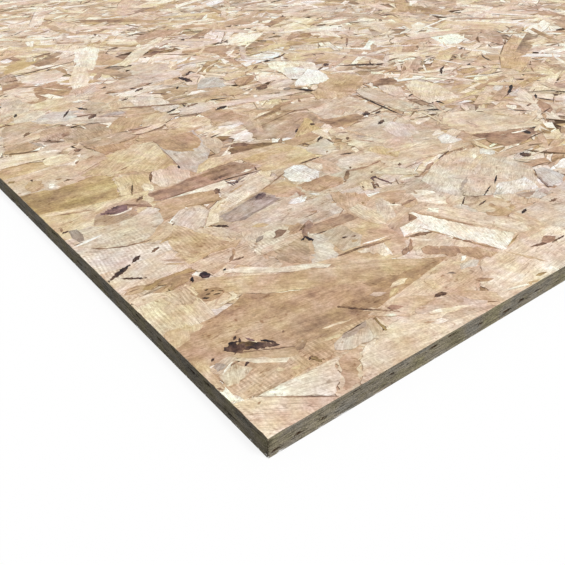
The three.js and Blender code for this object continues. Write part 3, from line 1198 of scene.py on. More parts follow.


# Many thin dark lenses in this list are painted shade: the gaps, slits and shadow lines between strands.
# Others are bark.
CORNER_STRANDS = (
    # Beside the corner, up to 200 mm along and 100 mm across.
    plate(Tint.FAWN, -10, 1, (-5, 92), (27, 107), (45, 108), (68, 117), (80, 108), (110, 92), (150, 80),
          (200, 72), (215, 62), (190, 58), (140, 50), (115, 46), (85, 50), (60, 52), (40, 58), (20, 66),
          (-5, 70)),
    lens(Tint.UMBER, 4, (108, 66), (122, 50.5), 1.9, full=True),
    lens(Tint.UMBER, 4, (121.5, 51), (137, 36), 1.6, full=True),
    plate(Tint.SOOT, 60, 4, (25.5, 67.5), (26, 70), (24, 72.5), (22.5, 74.5), (24, 77), (26.5, 76.5),
          (28.5, 78.5), (31, 77), (32.5, 74), (35.5, 73.5), (37, 71), (36, 69), (38, 68.5), (41, 69),
          (45, 67.5), (47.5, 65), (50, 62.5), (53, 60.5), (53.5, 58), (50, 58), (47.5, 60.5), (46, 60.8),
          (42, 61), (39.5, 63), (38, 65.5), (35, 66), (33, 67.5), (30.5, 65.5)),
    plate(Tint.MOSS, -40, 4, (33, 74.5), (36, 75), (40, 72), (43, 69), (41, 67), (37, 68), (35, 71)),
    lens(Tint.SOOT, 4, (33, 79), (36.5, 82), 2),
    lens(Tint.SOOT, 4, (35, 74), (37, 79), 1.8),
    lens(Tint.SOOT, 4, (11, 70.5), (14, 72), 2),
    lens(Tint.WHEAT, 3, (35, 72), (45, 66), 7),
    lens(Tint.WHEAT, 3, (40, 61), (48, 57.5), 4),
    lens(Tint.BROWN, 4, (56, 91), (60, 93.5), 2.4),
    lens(Tint.BROWN, 4, (19, 93), (21, 96), 1.8),
    lens(Tint.BROWN, 4, (38, 84.5), (44, 85.5), 1.6),
    lens(Tint.BROWN, 4, (23, 88), (29, 89), 1.4),
    lens(Tint.BROWN, 4, (76, 88), (82, 90), 3),
    lens(Tint.UMBER, 4, (62, 66), (64, 67.5), 1.6),
    lens(Tint.UMBER, 4, (30, 66.5), (61, 50), 0.8, full=True),
    plate(Tint.FAWN, -32, 3, (22, 66.5), (32, 65), (45, 58), (61, 50), (57, 44), (50, 44), (38, 54),
          (28, 60)),
    plate(Tint.BEIGE, -38, 4, (22, 63), (27, 62), (38, 54), (50, 44), (46, 42), (36, 49), (28, 57)),
    plate(Tint.SLATE, 20, 4, (8.5, 60), (9, 65), (12.5, 67), (16, 65), (16.5, 62), (13, 59.5)),
    lens(Tint.UMBER, 4, (16, 60), (24, 61.5), 1.4),
    lens(Tint.PALE, 4, (9, 56), (21, 63), 1.8),
    plate(Tint.DUSK, 20, 3, (6, 60), (9, 67), (20, 68.5), (27, 66), (24, 63), (17, 58), (9, 57)),
    plate(Tint.SAND, 60, 3, (6, 46), (7, 57), (14, 60), (22, 58), (26, 50), (18, 46), (10, 45)),
    lens(Tint.SOOT, 4, (24, 55), (28.5, 56.5), 2),
    plate(Tint.CAMEL, 5, 1, (5, 60), (18, 63), (45, 53), (60, 47), (60, 30), (30, 29), (8, 33), (3, 45),
          ribs=1.2),
    lens(Tint.HONEY, 4, (37, 41), (41, 37), 3.4),
    lens(Tint.HONEY, 4, (44, 36), (51, 34), 2.4),
    lens(Tint.BROWN, 4, (27, 44), (32, 45), 1.2),
    plate(Tint.FAWN, 85, 2, (50, 31), (50, 47), (53, 51), (57, 49), (57, 31), ribs=1.2),
    plate(Tint.CAMEL, -5, 1, (60, 50), (80, 47), (115, 46), (118, 43), (90, 38), (70, 30), (60, 29),
          ribs=1.2),
    plate(Tint.MOSS, -60, 4, (60, 32), (61, 37), (63, 36), (64, 33), (65.5, 30), (62, 30)),
    lens(Tint.DUSK, 4, (63, 51), (69, 53), 3),
    lens(Tint.STRAW, 4, (84, 53.5), (106, 49.5), 2),
    plate(Tint.BROWN, 20, 4, (58, 46.5), (60, 52), (66, 54), (70.5, 52), (66, 48.5), (62, 46)),
    lens(Tint.STRAW, 3, (76, 44.5), (93, 41), 2.4),
    # painted shade: a dark line and a grey band along the edge of the strand beside them
    lens(Tint.UMBER, 4, (91, 41), (112, 42.5), 1),
    plate(Tint.ASH, -5, 3, (88, 38), (92, 42), (112, 42.5), (108, 38), (98, 36)),
    plate(Tint.LILAC, 40, 2, (80, 38), (95, 42), (118, 43), (118, 32), (105, 26), (88, 27), (76, 31)),
    plate(Tint.LILAC, 65, 3, (105, 27), (111, 42), (117, 42), (112, 27)),
    lens(Tint.OLIVE, 4, (118.5, 41.5), (115, 27), 2, full=True),
    lens(Tint.BEIGE, 3, (120, 42), (118, 28), 4),
    plate(Tint.CREAM, -15, 3, (14, 29), (74, 27.5), (66, 18), (58, 9), (50, 3), (46, 5.5), (30, 17)),
    lens(Tint.PLUM, 4, (14, 29.5), (51, 1), 1.1),
    lens(Tint.BROWN, 4, (11, 24), (14, 25), 1.6),
    plate(Tint.STRAW, -35, 2, (-4, 34), (14, 30), (52, 0), (52, -5), (-4, -5), ribs=0.8),
    plate(Tint.CAMEL, -50, 3, (74, 27), (91, 26), (84, 19), (76, 11), (68, 3), (58, 1), (62, 8), (67, 17)),
    plate(Tint.SAND, -50, 2, (72, 28), (93, 25), (78, 11), (64, -4), (48, -4), (50, 3), (58, 10), (66, 19)),
    lens(Tint.BEIGE, 4, (86, 20), (104, 25), 4),
    plate(Tint.BEIGE, -8, 1, (62, -5), (92, 24), (150, 23), (190, 8), (215, -5), ribs=0.7),
    lens(Tint.PALE, 4, (143, 14), (156, 11), 5),
    lens(Tint.IVORY, 4, (146, 25), (183, 10), 4.5),
    lens(Tint.DUSK, 4, (140, 18), (148, 13), 1.6),
    plate(Tint.CREAM, -20, 2, (102, 27), (130, 31), (155, 25), (172, 14), (150, 15), (115, 17)),
    plate(Tint.PEARL, -28, 3, (146, 32), (170, 31), (183, 20), (193, 8), (186, 3), (162, 20), (144, 27)),
    plate(Tint.LILAC, -20, 3, (150, 13), (160, 15.5), (176, 11), (190, 4), (194, 0), (181, 3), (165, 7),
          (152, 9)),
    plate(Tint.UMBER, -5, 4, (167, 32.5), (171, 34.5), (175, 34.5), (179, 31), (176, 30), (171, 31)),
    plate(Tint.SAND, -35, 2, (150, 48), (165, 38), (192, 24), (206, 10), (200, 2), (188, 10), (168, 32),
          (140, 30), (128, 36), (135, 45)),
    lens(Tint.MIST, 4, (134, 62), (146, 57), 5.5),
    lens(Tint.BROWN, 4, (130, 54), (137, 54), 1.8),
    lens(Tint.BROWN, 4, (141, 55), (146, 57), 1.6),
    lens(Tint.BROWN, 4, (141, 75), (147, 68), 5),
    lens(Tint.STRAW, 3, (151, 60), (171, 61), 5),
    lens(Tint.HONEY, 3, (143, 51), (157, 57), 5),
    lens(Tint.BLUSH, 3, (118, 52), (133, 41), 5),
    plate(Tint.BEIGE, 5, 0, (110, 52), (150, 60), (215, 60), (220, 30), (190, 20), (140, 28)),
    plate(Tint.IVORY, 80, 3, (-5, 33), (-5, 46), (5, 45.5), (5, 33)),
    plate(Tint.CAMEL, 80, 2, (-5, 46), (-5, 78), (3, 77), (8, 69), (6, 60), (5, 46), ribs=1.2),
    lens(Tint.UMBER, 4, (0.5, 49), (3.5, 45), 1),
    lens(Tint.PLUM, 4, (133, 44), (142, 38), 5),
    lens(Tint.IVORY, 4, (126, 40), (132, 34), 3),
    lens(Tint.SLATE, 4, (197.5, 47.5), (203, 43.5), 2.4),
    plate(Tint.BEIGE, 10, 3, (174, 40), (178, 53), (197, 52), (203, 46), (197, 40)),
    # 100 to 200 mm across.
    plate(Tint.LILAC, -20, 3, (155, 27), (162, 32), (172, 31), (181, 27), (185, 19), (178, 16), (165, 20),
          ribs=1.0),
    lens(Tint.SOOT, 4, (29, 79), (35, 75), 2),
    plate(Tint.FAWN, 5, 0, (52, 58), (52, 38), (122, 38), (122, 58)),
    lens(Tint.SOOT, 4, (46, 69), (53, 61), 2),
    lens(Tint.INK, 4, (40, 77), (43, 70), 2),
    plate(Tint.TAN, -32, 2, (45, 150), (62, 148), (85, 132), (110, 118), (160, 95), (187, 82), (205, 66),
          (170, 68), (140, 78), (80, 108), (66, 118), (55, 130), (42, 128)),
    plate(Tint.CREAM, -35, 3, (73, 151), (86, 145), (98, 137), (104, 130), (110, 127), (124, 121),
          (134, 115), (140, 108), (135, 107), (126, 112), (110, 119), (96, 128), (84, 137), (72, 147)),
    lens(Tint.MOSS, 4, (42, 130), (46.5, 127), 2),
    lens(Tint.MOSS, 4, (46, 131.5), (50, 131), 1.6),
    lens(Tint.MOSS, 4, (51, 133), (54, 132.5), 1.6),
    lens(Tint.MOSS, 4, (50, 128.5), (56, 127), 1.8),
    lens(Tint.MOSS, 4, (48, 136), (52, 136.5), 1.6),
    lens(Tint.MOSS, 4, (55, 131), (59, 128), 1.6),
    plate(Tint.FAWN, 0, 3, (41, 126), (43, 134), (50, 139), (58, 135), (61, 128), (54, 124), (46, 124)),
    plate(Tint.CREAM, 10, 4, (47, 116), (55, 118.5), (60, 119.5), (61, 124), (64, 124), (64, 118),
          (58, 115)),
    lens(Tint.BROWN, 4, (36, 106), (51, 110), 2),
    plate(Tint.TAN, 60, 2, (-5, 92), (-5, 113), (10, 113), (20, 109), (27, 104)),
    plate(Tint.LILAC, 85, 3, (21, 146), (41, 148), (41, 133), (33, 129), (24, 134), ribs=1.2),
    plate(Tint.BEIGE, 85, 1, (-5, 152), (20, 149), (45, 148), (38, 106), (27, 104), (-5, 95), ribs=1.2),
    lens(Tint.BROWN, 4, (30, 151), (45, 158), 2),
    lens(Tint.BROWN, 4, (27, 156), (40, 163), 1.6),
    plate(Tint.RUST, 0, 3, (15, 164), (28, 169), (55, 167.5), (58, 162), (45, 164), (30, 165), (20, 161)),
    plate(Tint.BROWN, -10, 2, (15, 168), (55, 166), (50, 160), (47, 155), (28, 149), (35, 158)),
    plate(Tint.BEIGE, -8, 2, (0, 158), (18, 157), (27, 151), (42, 150), (45, 146), (25, 146), (3, 149)),
    plate(Tint.INK, 0, 4, (56, 151), (56.5, 156), (59, 157.5), (62.5, 156.5), (63, 152.5), (61, 149),
          (58.5, 150)),
    lens(Tint.SOOT, 4, (47.5, 151), (51.5, 157), 2.4),
    lens(Tint.SOOT, 4, (73, 149), (76.5, 151.5), 1.8),
    lens(Tint.SOOT, 4, (1, 187), (24, 199), 4.2),
    lens(Tint.BARK, 4, (9.5, 186), (25, 175), 2.2),
    lens(Tint.OLIVE, 4, (43, 184), (56, 176), 2),
    plate(Tint.BLUSH, 10, 2, (22, 171), (24, 188), (45, 193), (53, 178), (46, 169), ribs=1.2),
    lens(Tint.DUSK, 3, (45, 189), (61, 178), 4),
    lens(Tint.BROWN, 4, (4, 171), (16, 170), 1.2),
    lens(Tint.BROWN, 4, (5, 167), (15, 166.5), 1.2),
    lens(Tint.ROSE, 3, (2, 166), (20, 168), 9),
    plate(Tint.BLUSH, 20, 0, (-5, 152), (-5, 206), (60, 204), (62, 170), (40, 166), (20, 160), ribs=1.2),
    lens(Tint.FAWN, 4, (67, 188), (73, 182), 4),
    lens(Tint.FAWN, 4, (95, 185), (99, 179), 4),
    lens(Tint.LILAC, 4, (70, 173), (87, 172), 2.4),
    plate(Tint.TAN, 15, 1, (62, 200), (98, 200), (108, 178), (100, 172), (85, 176), (58, 172), (57, 185)),
    lens(Tint.COCOA, 4, (97, 171), (91, 162), 2),
    lens(Tint.UMBER, 4, (92, 164), (83, 156.5), 2.4),
    lens(Tint.UMBER, 4, (85, 157), (96, 156), 2.4),
    plate(Tint.BLUSH, 5, 2, (58, 172), (110, 172), (105, 150), (115, 135), (100, 134), (92, 145), (80, 155),
          (65, 150), (58, 160)),
    plate(Tint.BEIGE, 40, 3, (109, 172), (116, 187), (122, 187), (131, 176), (122, 173)),
    lens(Tint.SLATE, 4, (115, 168), (127, 172.5), 3.4),
    plate(Tint.COCOA, 20, 4, (129, 164), (137, 172), (142, 172), (145, 167), (138, 163)),
    plate(Tint.BEIGE, 0, 2, (108, 151), (112, 157), (140, 156.5), (143, 150), (120, 149)),
    plate(Tint.CAMEL, 20, 3, (147, 160), (147, 168), (154, 173), (162, 168), (158, 161)),
    lens(Tint.MOSS, 4, (153, 160.5), (164, 166), 2.4),
    plate(Tint.PLUM, 50, 2, (149, 151), (160, 165), (171, 171), (169, 163), (161, 154), (156, 148)),
    plate(Tint.BEIGE, 0, 1, (106, 150), (150, 153), (154, 166), (150, 176), (112, 177), (104, 165),
          ribs=1.2),
    lens(Tint.UMBER, 4, (156, 149), (171, 147.5), 1),
    plate(Tint.BROWN, 0, 3, (158, 158), (170, 161), (204, 160), (206, 148), (165, 147.5), (156, 150)),
    plate(Tint.INK, -80, 4, (149.5, 151), (152, 152), (153.5, 143), (151, 142), (150, 146)),
    lens(Tint.BARK, 4, (144, 147.5), (150, 150), 1.8),
    plate(Tint.ROSE, -65, 2, (143, 153), (150, 150), (142, 135), (128, 120), (118, 128), (114, 140),
          (122, 151), ribs=1.2),
    plate(Tint.MIST, -70, 3, (158, 155), (165, 145), (160, 125), (150, 112), (140, 115), (130, 117),
          (140, 128), (150, 138), (153, 150)),
    lens(Tint.BARK, 4, (172, 131.5), (177.5, 130), 2.2),
    lens(Tint.BARK, 4, (179.5, 129), (183.5, 127), 2),
    lens(Tint.FAWN, 4, (174, 122), (181, 122), 3),
    plate(Tint.LILAC, 20, 2, (160, 116), (158, 135), (166, 147), (186, 147), (189, 125), (175, 115)),
    lens(Tint.IVORY, 4, (172, 115.5), (203, 111), 2),
    lens(Tint.UMBER, 4, (149, 113.5), (178, 112), 2.6),
    lens(Tint.UMBER, 4, (170, 112), (203, 107), 2.8),
    plate(Tint.CREAM, 40, 3, (164, 110), (193, 107), (186, 89)),
    lens(Tint.COCOA, 4, (191, 84), (202, 90), 4),
    plate(Tint.TAN, -20, 0, (108, 120), (120, 178), (210, 180), (214, 100), (190, 84), (150, 98)),
    lens(Tint.UMBER, 4, (169, 175), (187, 176), 1),
    plate(Tint.LILAC, 0, 3, (170, 165), (172, 175.5), (194, 176), (195, 164)),
    lens(Tint.BROWN, 4, (180, 179.5), (187, 178), 3.4),
    lens(Tint.HONEY, 4, (128, 190), (141, 184), 6),
    plate(Tint.LILAC, 5, 1, (100, 172), (108, 178), (98, 202), (150, 206), (206, 196), (208, 164),
          (170, 164), (150, 176)),
    # Along the left edge, 200 to 400 mm across.
    plate(Tint.OLIVE, 0, 3, (-5, 357), (12, 357.5), (22, 357), (27, 353), (32, 351), (40, 354), (55, 354),
          (63, 357), (69, 356), (78, 350), (83, 344), (79, 335), (75, 322), (70, 305), (62, 304), (45, 306),
          (25, 310), (10, 314), (-5, 317)),
    plate(Tint.PALE, 20, 4, (26, 356), (30, 366), (34, 364), (36, 355), (32, 351.5)),
    lens(Tint.MOSS, 4, (43, 364), (50, 363.5), 3),
    lens(Tint.BROWN, 4, (38, 371), (44, 369.5), 2.6),
    lens(Tint.BARK, 4, (20, 379.5), (22, 385), 2.2),
    lens(Tint.OLIVE, 4, (2, 391), (8, 390), 4),
    plate(Tint.PALE, 40, 3, (42, 412), (52, 400), (65, 390), (75, 402), (82, 412)),
    lens(Tint.COCOA, 4, (67, 392), (73, 398), 3),
    lens(Tint.COCOA, 4, (81, 397), (91, 401), 3),
    plate(Tint.BLUSH, 30, 3, (60, 366), (62, 384), (72, 397), (90, 401), (97, 392), (96, 386), (78, 374)),
    lens(Tint.BROWN, 4, (60, 369), (92, 384), 1.2),
    lens(Tint.BROWN, 4, (92, 352.5), (106, 357), 2),
    lens(Tint.BROWN, 4, (12, 304.5), (41, 295.5), 2.4),
    lens(Tint.STRAW, 3, (-3, 311), (34, 303), 6),
    plate(Tint.SAND, 75, 3, (70, 303), (78, 332), (83, 343), (112, 332), (105, 315), (95, 303)),
    lens(Tint.MOSS, 4, (78, 299), (90, 321), 1.8),
    plate(Tint.CREAM, 80, 4, (91, 299), (92, 311), (98, 314), (103, 306), (100, 298)),
    plate(Tint.MIST, 70, 2, (106, 300), (106, 316), (116, 333), (140, 333), (146, 314), (138, 300),
          (122, 297)),
    lens(Tint.UMBER, 4, (104, 313), (115, 332), 3.2),
    plate(Tint.PLUM, 8, 3, (94, 276), (88, 293), (100, 294), (112, 294), (128, 297), (150, 300), (165, 304),
          (172, 304), (180, 301), (190, 296), (199, 290), (202, 283), (195, 281), (180, 281), (160, 278),
          (120, 275.5)),
    lens(Tint.UMBER, 4, (96, 276), (150, 276.5), 1.8),
    lens(Tint.UMBER, 4, (148, 277), (198, 272.5), 2),
    lens(Tint.UMBER, 4, (195, 274.5), (198, 282), 1.6),
    lens(Tint.PALE, 4, (180, 279), (195, 280), 3),
    lens(Tint.UMBER, 4, (158, 303), (177, 303.5), 1.6),
    plate(Tint.UMBER, 5, 4, (150, 280), (148, 298), (168, 303), (182, 300), (197, 292), (201, 284),
          (194, 282), (172, 281)),
    plate(Tint.ORANGE, 5, 4, (189, 291), (191, 294), (194, 292), (193, 289)),
    plate(Tint.STEEL, 0, 4, (159, 268.5), (164, 266), (168, 267.5), (167, 264), (161, 262.5)),
    lens(Tint.INK, 4, (158.5, 275), (159.5, 260), 1.5),
    lens(Tint.SLATE, 4, (167, 265), (175, 273), 2),
    lens(Tint.SLATE, 4, (171, 268), (179, 269.5), 2.8),
    lens(Tint.SLATE, 4, (168, 263.5), (175, 264.5), 2),
    lens(Tint.WHITE, 4, (161, 270.5), (168, 269), 3),
    plate(Tint.PALE, -2, 3, (98, 274.5), (118, 275), (160, 276), (160, 262), (146, 263), (128, 269)),
    plate(Tint.UMBER, 60, 4, (137, 257), (139, 262), (144, 266), (145, 261), (141, 256.5)),
    plate(Tint.PEARL, 15, 2, (136, 246), (142, 262), (162, 264), (184, 272), (194, 262), (188, 244),
          (168, 238), (150, 246), ribs=1.0),
    lens(Tint.OLIVE, 4, (146, 250), (172, 259), 1.4),
    lens(Tint.UMBER, 4, (187, 243), (213, 254.5), 1.4),
    lens(Tint.BROWN, 4, (172, 237), (190, 244), 1.4),
    plate(Tint.CAMEL, -30, 2, (171, 238), (185, 242.5), (201, 239), (206, 228), (198, 216), (184, 212),
          (176, 221)),
    plate(Tint.COCOA, 80, 4, (193, 209), (196, 217), (201, 211), (198, 207)),
    lens(Tint.BROWN, 4, (221, 217), (221, 205), 3),
    plate(Tint.FROST, 20, 3, (176, 204), (183, 208), (190, 207), (197, 203.5), (189, 198), (180, 199)),
    lens(Tint.WHITE, 4, (185, 201), (196, 208), 2),
    lens(Tint.FROST, 3, (202, 207), (209, 199), 4),
    plate(Tint.PALE, 30, 2, (117, 223), (125, 234), (134, 243), (150, 249), (166, 246), (172, 238),
          (158, 235), (132, 227), ribs=1.0),
    plate(Tint.SMOKE, 15, 4, (121, 206), (120, 216), (128, 220), (156, 227), (162, 220), (171, 216),
          (160, 213), (140, 208)),
    lens(Tint.SLATE, 4, (166, 227), (176, 215), 3),
    plate(Tint.FAWN, 5, 2, (86, 275), (96, 275), (120, 270), (138, 265), (141, 258), (134, 245), (118, 247),
          (104, 252), (90, 245), (77, 243), (83, 262)),
    # painted shadow along the edge of the strand beside it
    lens(Tint.BROWN, 4, (103, 253), (136, 244), 2.6),
    plate(Tint.PEARL, 35, 3, (80, 232), (82, 240), (92, 247), (101, 251), (110, 246), (117, 238),
          (115, 233), (105, 222), (98, 213), (88, 215), (84, 224)),
    lens(Tint.WHITE, 4, (79, 236), (88, 243), 1.5),
    lens(Tint.BARK, 4, (78.5, 231), (82, 233.5), 1.4),
    plate(Tint.CREAM, 35, 2, (98, 213), (105, 222), (117, 235), (134, 245), (143, 246), (142, 233),
          (118, 222), (112, 212)),
    plate(Tint.PEARL, -60, 2, (86, 213), (98, 213), (109, 203), (113, 190), (100, 188), (94, 200)),
    plate(Tint.SLATE, 15, 3, (118, 220), (140, 226), (170, 235), (173, 225), (176, 215), (160, 210),
          (130, 203), (118, 207)),
    plate(Tint.STEEL, 20, 4, (158, 226), (162, 231.5), (167, 233), (172, 233.5), (171, 228), (167, 225.5),
          (161, 224.5)),
    plate(Tint.LILAC, 10, 1, (100, 205), (118, 236), (190, 254), (206, 240), (204, 202), (150, 196)),
    plate(Tint.PALE, 5, 4, (43, 279), (48, 277), (56, 276), (63, 277.5), (68, 279.5), (65, 275.5),
          (58, 273.5), (50, 274)),
    plate(Tint.INK, -15, 4, (40, 283), (45, 286), (52, 288), (58, 289.5), (63, 288), (66, 285), (64, 280),
          (61, 277), (55, 275.5), (49, 278)),
    plate(Tint.SOOT, -15, 4, (41, 283), (46, 285), (51, 284), (50, 280), (46, 280.5)),
    plate(Tint.UMBER, -38, 4, (62, 286), (65, 288.5), (75, 280.5), (82.5, 273), (81, 270), (74, 275.5),
          (66, 283)),
    lens(Tint.BARK, 4, (77, 274.5), (82, 270), 1.8),
    plate(Tint.SLATE, 5, 3, (50, 264), (50, 272), (60, 274), (67, 275), (67, 267), (58, 263)),
    plate(Tint.DUSK, 10, 3, (30, 271), (33, 279), (38, 284), (48, 290.5), (60, 294), (74, 294), (83, 289),
          (82, 272), (73, 276), (67, 274), (66, 266), (56, 262.5), (46, 262), (35, 264)),
    plate(Tint.PEARL, 0, 2, (12, 237), (20, 230), (32, 225), (45, 222.5), (58, 227), (70, 238), (78, 245),
          (84, 262), (80, 272), (66, 266), (50, 263), (34, 264), (26, 271), (16, 269), (10, 262), (4, 250),
          ribs=0.8),
    plate(Tint.SLATE, 80, 3, (8, 250), (12, 252), (16, 262), (15, 272), (9, 274), (7, 262)),
    lens(Tint.BARK, 4, (3, 273), (9, 274.5), 2.4),
    lens(Tint.UMBER, 4, (4, 276), (6.5, 282), 1.8),
    lens(Tint.WHITE, 4, (0, 247), (27, 252), 3.4),
    lens(Tint.BARK, 4, (3, 250), (13, 248.5), 1.2),
    lens(Tint.PALE, 4, (6, 252), (21, 251), 1.2),
    plate(Tint.ROSE, 25, 2, (44, 222), (52, 220), (64, 213), (72, 216), (79, 232), (77, 241), (70, 238),
          (58, 227)),
    lens(Tint.OLIVE, 4, (56, 212.5), (70, 215.5), 2.4),
    plate(Tint.TAN, -65, 2, (60, 198), (64, 213), (72, 227), (80, 232), (86, 222), (90, 208), (97, 194),
          (106, 180), (62, 180), ribs=1.2),
    lens(Tint.SAND, 3, (81, 276), (91, 292), 9),
    lens(Tint.UMBER, 4, (75, 286), (86, 293), 3.4),
    lens(Tint.UMBER, 4, (11, 237.5), (22, 229.5), 1.8),
    lens(Tint.UMBER, 4, (20, 231), (36, 223), 1.6),
    lens(Tint.UMBER, 4, (33, 224.5), (54, 221), 1.8),
    lens(Tint.BARK, 4, (26, 200), (36, 206), 4),
    lens(Tint.BARK, 4, (44, 204), (53, 208), 3),
    lens(Tint.BARK, 4, (103, 211), (114, 201), 3.4),
    plate(Tint.HAZE, 80, 3, (155, 404), (204, 404), (195, 370), (188, 345), (170, 320), (150, 302),
          (140, 320), (147, 350), (150, 370)),
    lens(Tint.BARK, 4, (140, 322), (143, 330), 2.2),
    plate(Tint.FAWN, 100, 4, (154, 403), (199, 396), (197, 382), (193, 368), (185, 358), (172, 352),
          (160, 358), (152, 372)),
    plate(Tint.SAND, 35, 2, (60, 365), (95, 385), (120, 402), (157, 404), (148, 365), (140, 320),
          (118, 330), (100, 345), (82, 350)),
    plate(Tint.ROSE, 30, 3, (8, 370), (18, 382), (28, 378), (25, 362), (15, 358)),
    plate(Tint.PEARL, 0, 1, (-5, 352), (-5, 410), (110, 410), (95, 385), (60, 357), (30, 350)),
    plate(Tint.MIST, -20, 1, (-5, 200), (-5, 262), (40, 262), (80, 238), (98, 203), (60, 198), ribs=1.2),
    plate(Tint.WHEAT, 15, 1, (-5, 262), (-5, 318), (40, 312), (72, 303), (95, 300), (80, 262), (40, 258)),
    plate(Tint.DUSK, -25, 1, (90, 292), (104, 318), (140, 322), (190, 304), (206, 280), (140, 262)),
    # Along the front edge, 200 to 400 mm along.
    plate(Tint.WHEAT, 25, 4, (146, 302), (158, 318), (175, 325), (190, 322), (205, 318), (205, 304),
          (180, 305), (160, 305)),
    plate(Tint.LILAC, 60, 3, (186, 330), (187, 350), (191, 372), (206, 373), (206, 345), (196, 336)),
    plate(Tint.PALE, 68, 3, (243, 128), (248, 127), (254, 113), (263, 94), (270, 77), (285, 52), (276, 48),
          (270, 45), (255, 43), (253, 55), (241, 80), (237, 95), (241, 112)),
    # painted shadow along the right border of the pale plate
    lens(Tint.FAWN, 4, (249, 126), (270, 80), 2.6),
    lens(Tint.FAWN, 4, (231, 108), (244, 74), 1.6),
    lens(Tint.UMBER, 4, (241, 78), (247, 65), 2.2, full=True),
    lens(Tint.FAWN, 4, (245, 68), (257, 42), 1.8),
    lens(Tint.OLIVE, 4, (264, 43.5), (286, 50), 1.6),
    lens(Tint.WHEAT, 4, (255, 41), (269, 12), 2.6),
    plate(Tint.PALE, 20, 3, (213, 105), (220, 115), (243, 117), (240, 100), (236, 93), (228, 101),
          (218, 103)),
    plate(Tint.COCOA, 40, 4, (234, 117.5), (238, 121), (243, 127), (244, 117.5)),
    plate(Tint.IVORY, -50, 4, (258, 121), (264, 124), (270, 118), (264, 112)),
    plate(Tint.BEIGE, -65, 2, (253, 124), (262, 128), (272, 122), (284, 109), (296, 87), (291, 70),
          (276, 73), (266, 92)),
    plate(Tint.MIST, -70, 2, (280, 111), (292, 112), (298, 97), (300, 85), (290, 80)),
    plate(Tint.BEIGE, -70, 2, (283, 52), (284, 78), (300, 84), (306, 60), (298, 48)),
    plate(Tint.BLUSH, -80, 3, (304, 46), (305, 73), (315, 75), (319, 56), (314, 45)),
    plate(Tint.PLUM, 60, 4, (205, 77), (209, 83), (217, 82), (222, 77), (215, 69), (208, 72)),
    plate(Tint.BROWN, 65, 3, (210, 74), (224, 76), (234, 67), (231, 58), (222, 60), (214, 68)),
    plate(Tint.FAWN, 65, 3, (226, 68), (236, 66), (245, 54), (249, 42), (243, 41), (233, 47), (228, 56)),
    plate(Tint.DEW, 10, 3, (210, 45), (215, 50), (226, 49), (231, 45), (222, 40)),
    lens(Tint.WHITE, 4, (218, 52), (228, 55), 4),
    lens(Tint.HONEY, 4, (226, 4), (243, 1.5), 2),
    lens(Tint.OLIVE, 4, (245, 6.5), (256, 4), 2.4),
    lens(Tint.IVORY, 4, (209, 9), (238, 1), 2.4),
    lens(Tint.FAWN, 4, (206, 29), (218, 22), 4),
    lens(Tint.COCOA, 4, (199, 84), (214, 98), 3),
    lens(Tint.UMBER, 4, (212, 102), (236, 94), 3.6),
    plate(Tint.CREAM, 5, 1, (196, -5), (204, 22), (232, 44), (318, 42), (330, 12), (318, -5)),
    lens(Tint.UMBER, 4, (276, 32.5), (295, 27.5), 3),
    plate(Tint.PLUM, 10, 4, (289, 31), (294, 34), (299, 36), (303, 33), (306, 30), (300, 26.5),
          (293, 27.5)),
    lens(Tint.BARK, 4, (295, 26), (313, 26.5), 1.8),
    plate(Tint.PEARL, 30, 2, (295, 140), (300, 165), (330, 178), (360, 190), (404, 182), (404, 120),
          (375, 90), (345, 72), (325, 85), (330, 108), (310, 115)),
    plate(Tint.ASH, -30, 4, (343, 95), (348, 93), (363, 87), (355, 84), (348, 83), (342.5, 88)),
    plate(Tint.ASH, 20, 4, (361, 83), (366, 88), (372, 85), (371, 78), (364, 76)),
    lens(Tint.UMBER, 4, (354, 67), (365, 67.5), 3),
    lens(Tint.SLATE, 4, (378, 84), (391, 103), 3),
    plate(Tint.HAZE, 60, 3, (380, 85), (391, 104), (402, 116), (414, 109), (412, 90), (398, 82)),
    plate(Tint.FROST, 30, 3, (391, 170), (398, 176), (405, 178), (408, 165), (404, 160), (397, 162)),
    plate(Tint.BARK, 10, 4, (421, 138), (422, 146), (428, 145.5), (430, 138), (426, 136.5)),
    plate(Tint.FAWN, 10, 3, (294, 85), (296, 97), (312, 102), (324, 98), (328, 88), (324, 80), (306, 74),
          (296, 78)),
    lens(Tint.BARK, 4, (289, 109), (304, 118), 1.4),
    plate(Tint.DUSK, 20, 3, (292, 103), (293, 114), (304, 119), (318, 111), (313, 103), (300, 102)),
    # painted shadow: a brown band along the strands' edge
    lens(Tint.PLUM, 4, (317, 176), (340, 185), 5),
    lens(Tint.COCOA, 4, (301, 174), (306, 171), 1.8),
    lens(Tint.COCOA, 4, (304.5, 171), (318, 176.5), 2),
    plate(Tint.PEARL, -40, 3, (276, 202), (298, 181), (309, 176), (312, 186), (298, 204)),
    lens(Tint.ASH, 4, (311, 129), (340, 144), 4),
    plate(Tint.MIST, -40, 2, (340, 118), (352, 151), (392, 168), (404, 130), (374, 104)),
    # dark slits, partly bark and partly painted shade of gaps between strands
    lens(Tint.SOOT, 4, (346, 118.5), (364, 129.5), 1.8),
    lens(Tint.BARK, 4, (319, 109.5), (341, 118.5), 1.6),
    lens(Tint.BARK, 4, (300, 100), (315, 103), 1.8),
    lens(Tint.BARK, 4, (349, 187), (373, 194), 2),
    lens(Tint.SOOT, 4, (317, 69), (328, 72), 3),
    plate(Tint.BLUSH, -30, 3, (290, 118), (300, 120), (318, 110), (328, 90), (322, 80), (308, 75),
          (296, 82)),
    lens(Tint.SOOT, 4, (255, 178.5), (263, 190), 2.4, full=True),
    lens(Tint.SOOT, 4, (260, 178.5), (264, 187), 2.6),
    lens(Tint.INK, 4, (265, 190), (268.5, 197.5), 3),
    lens(Tint.INK, 4, (266, 195), (274, 196.5), 3),
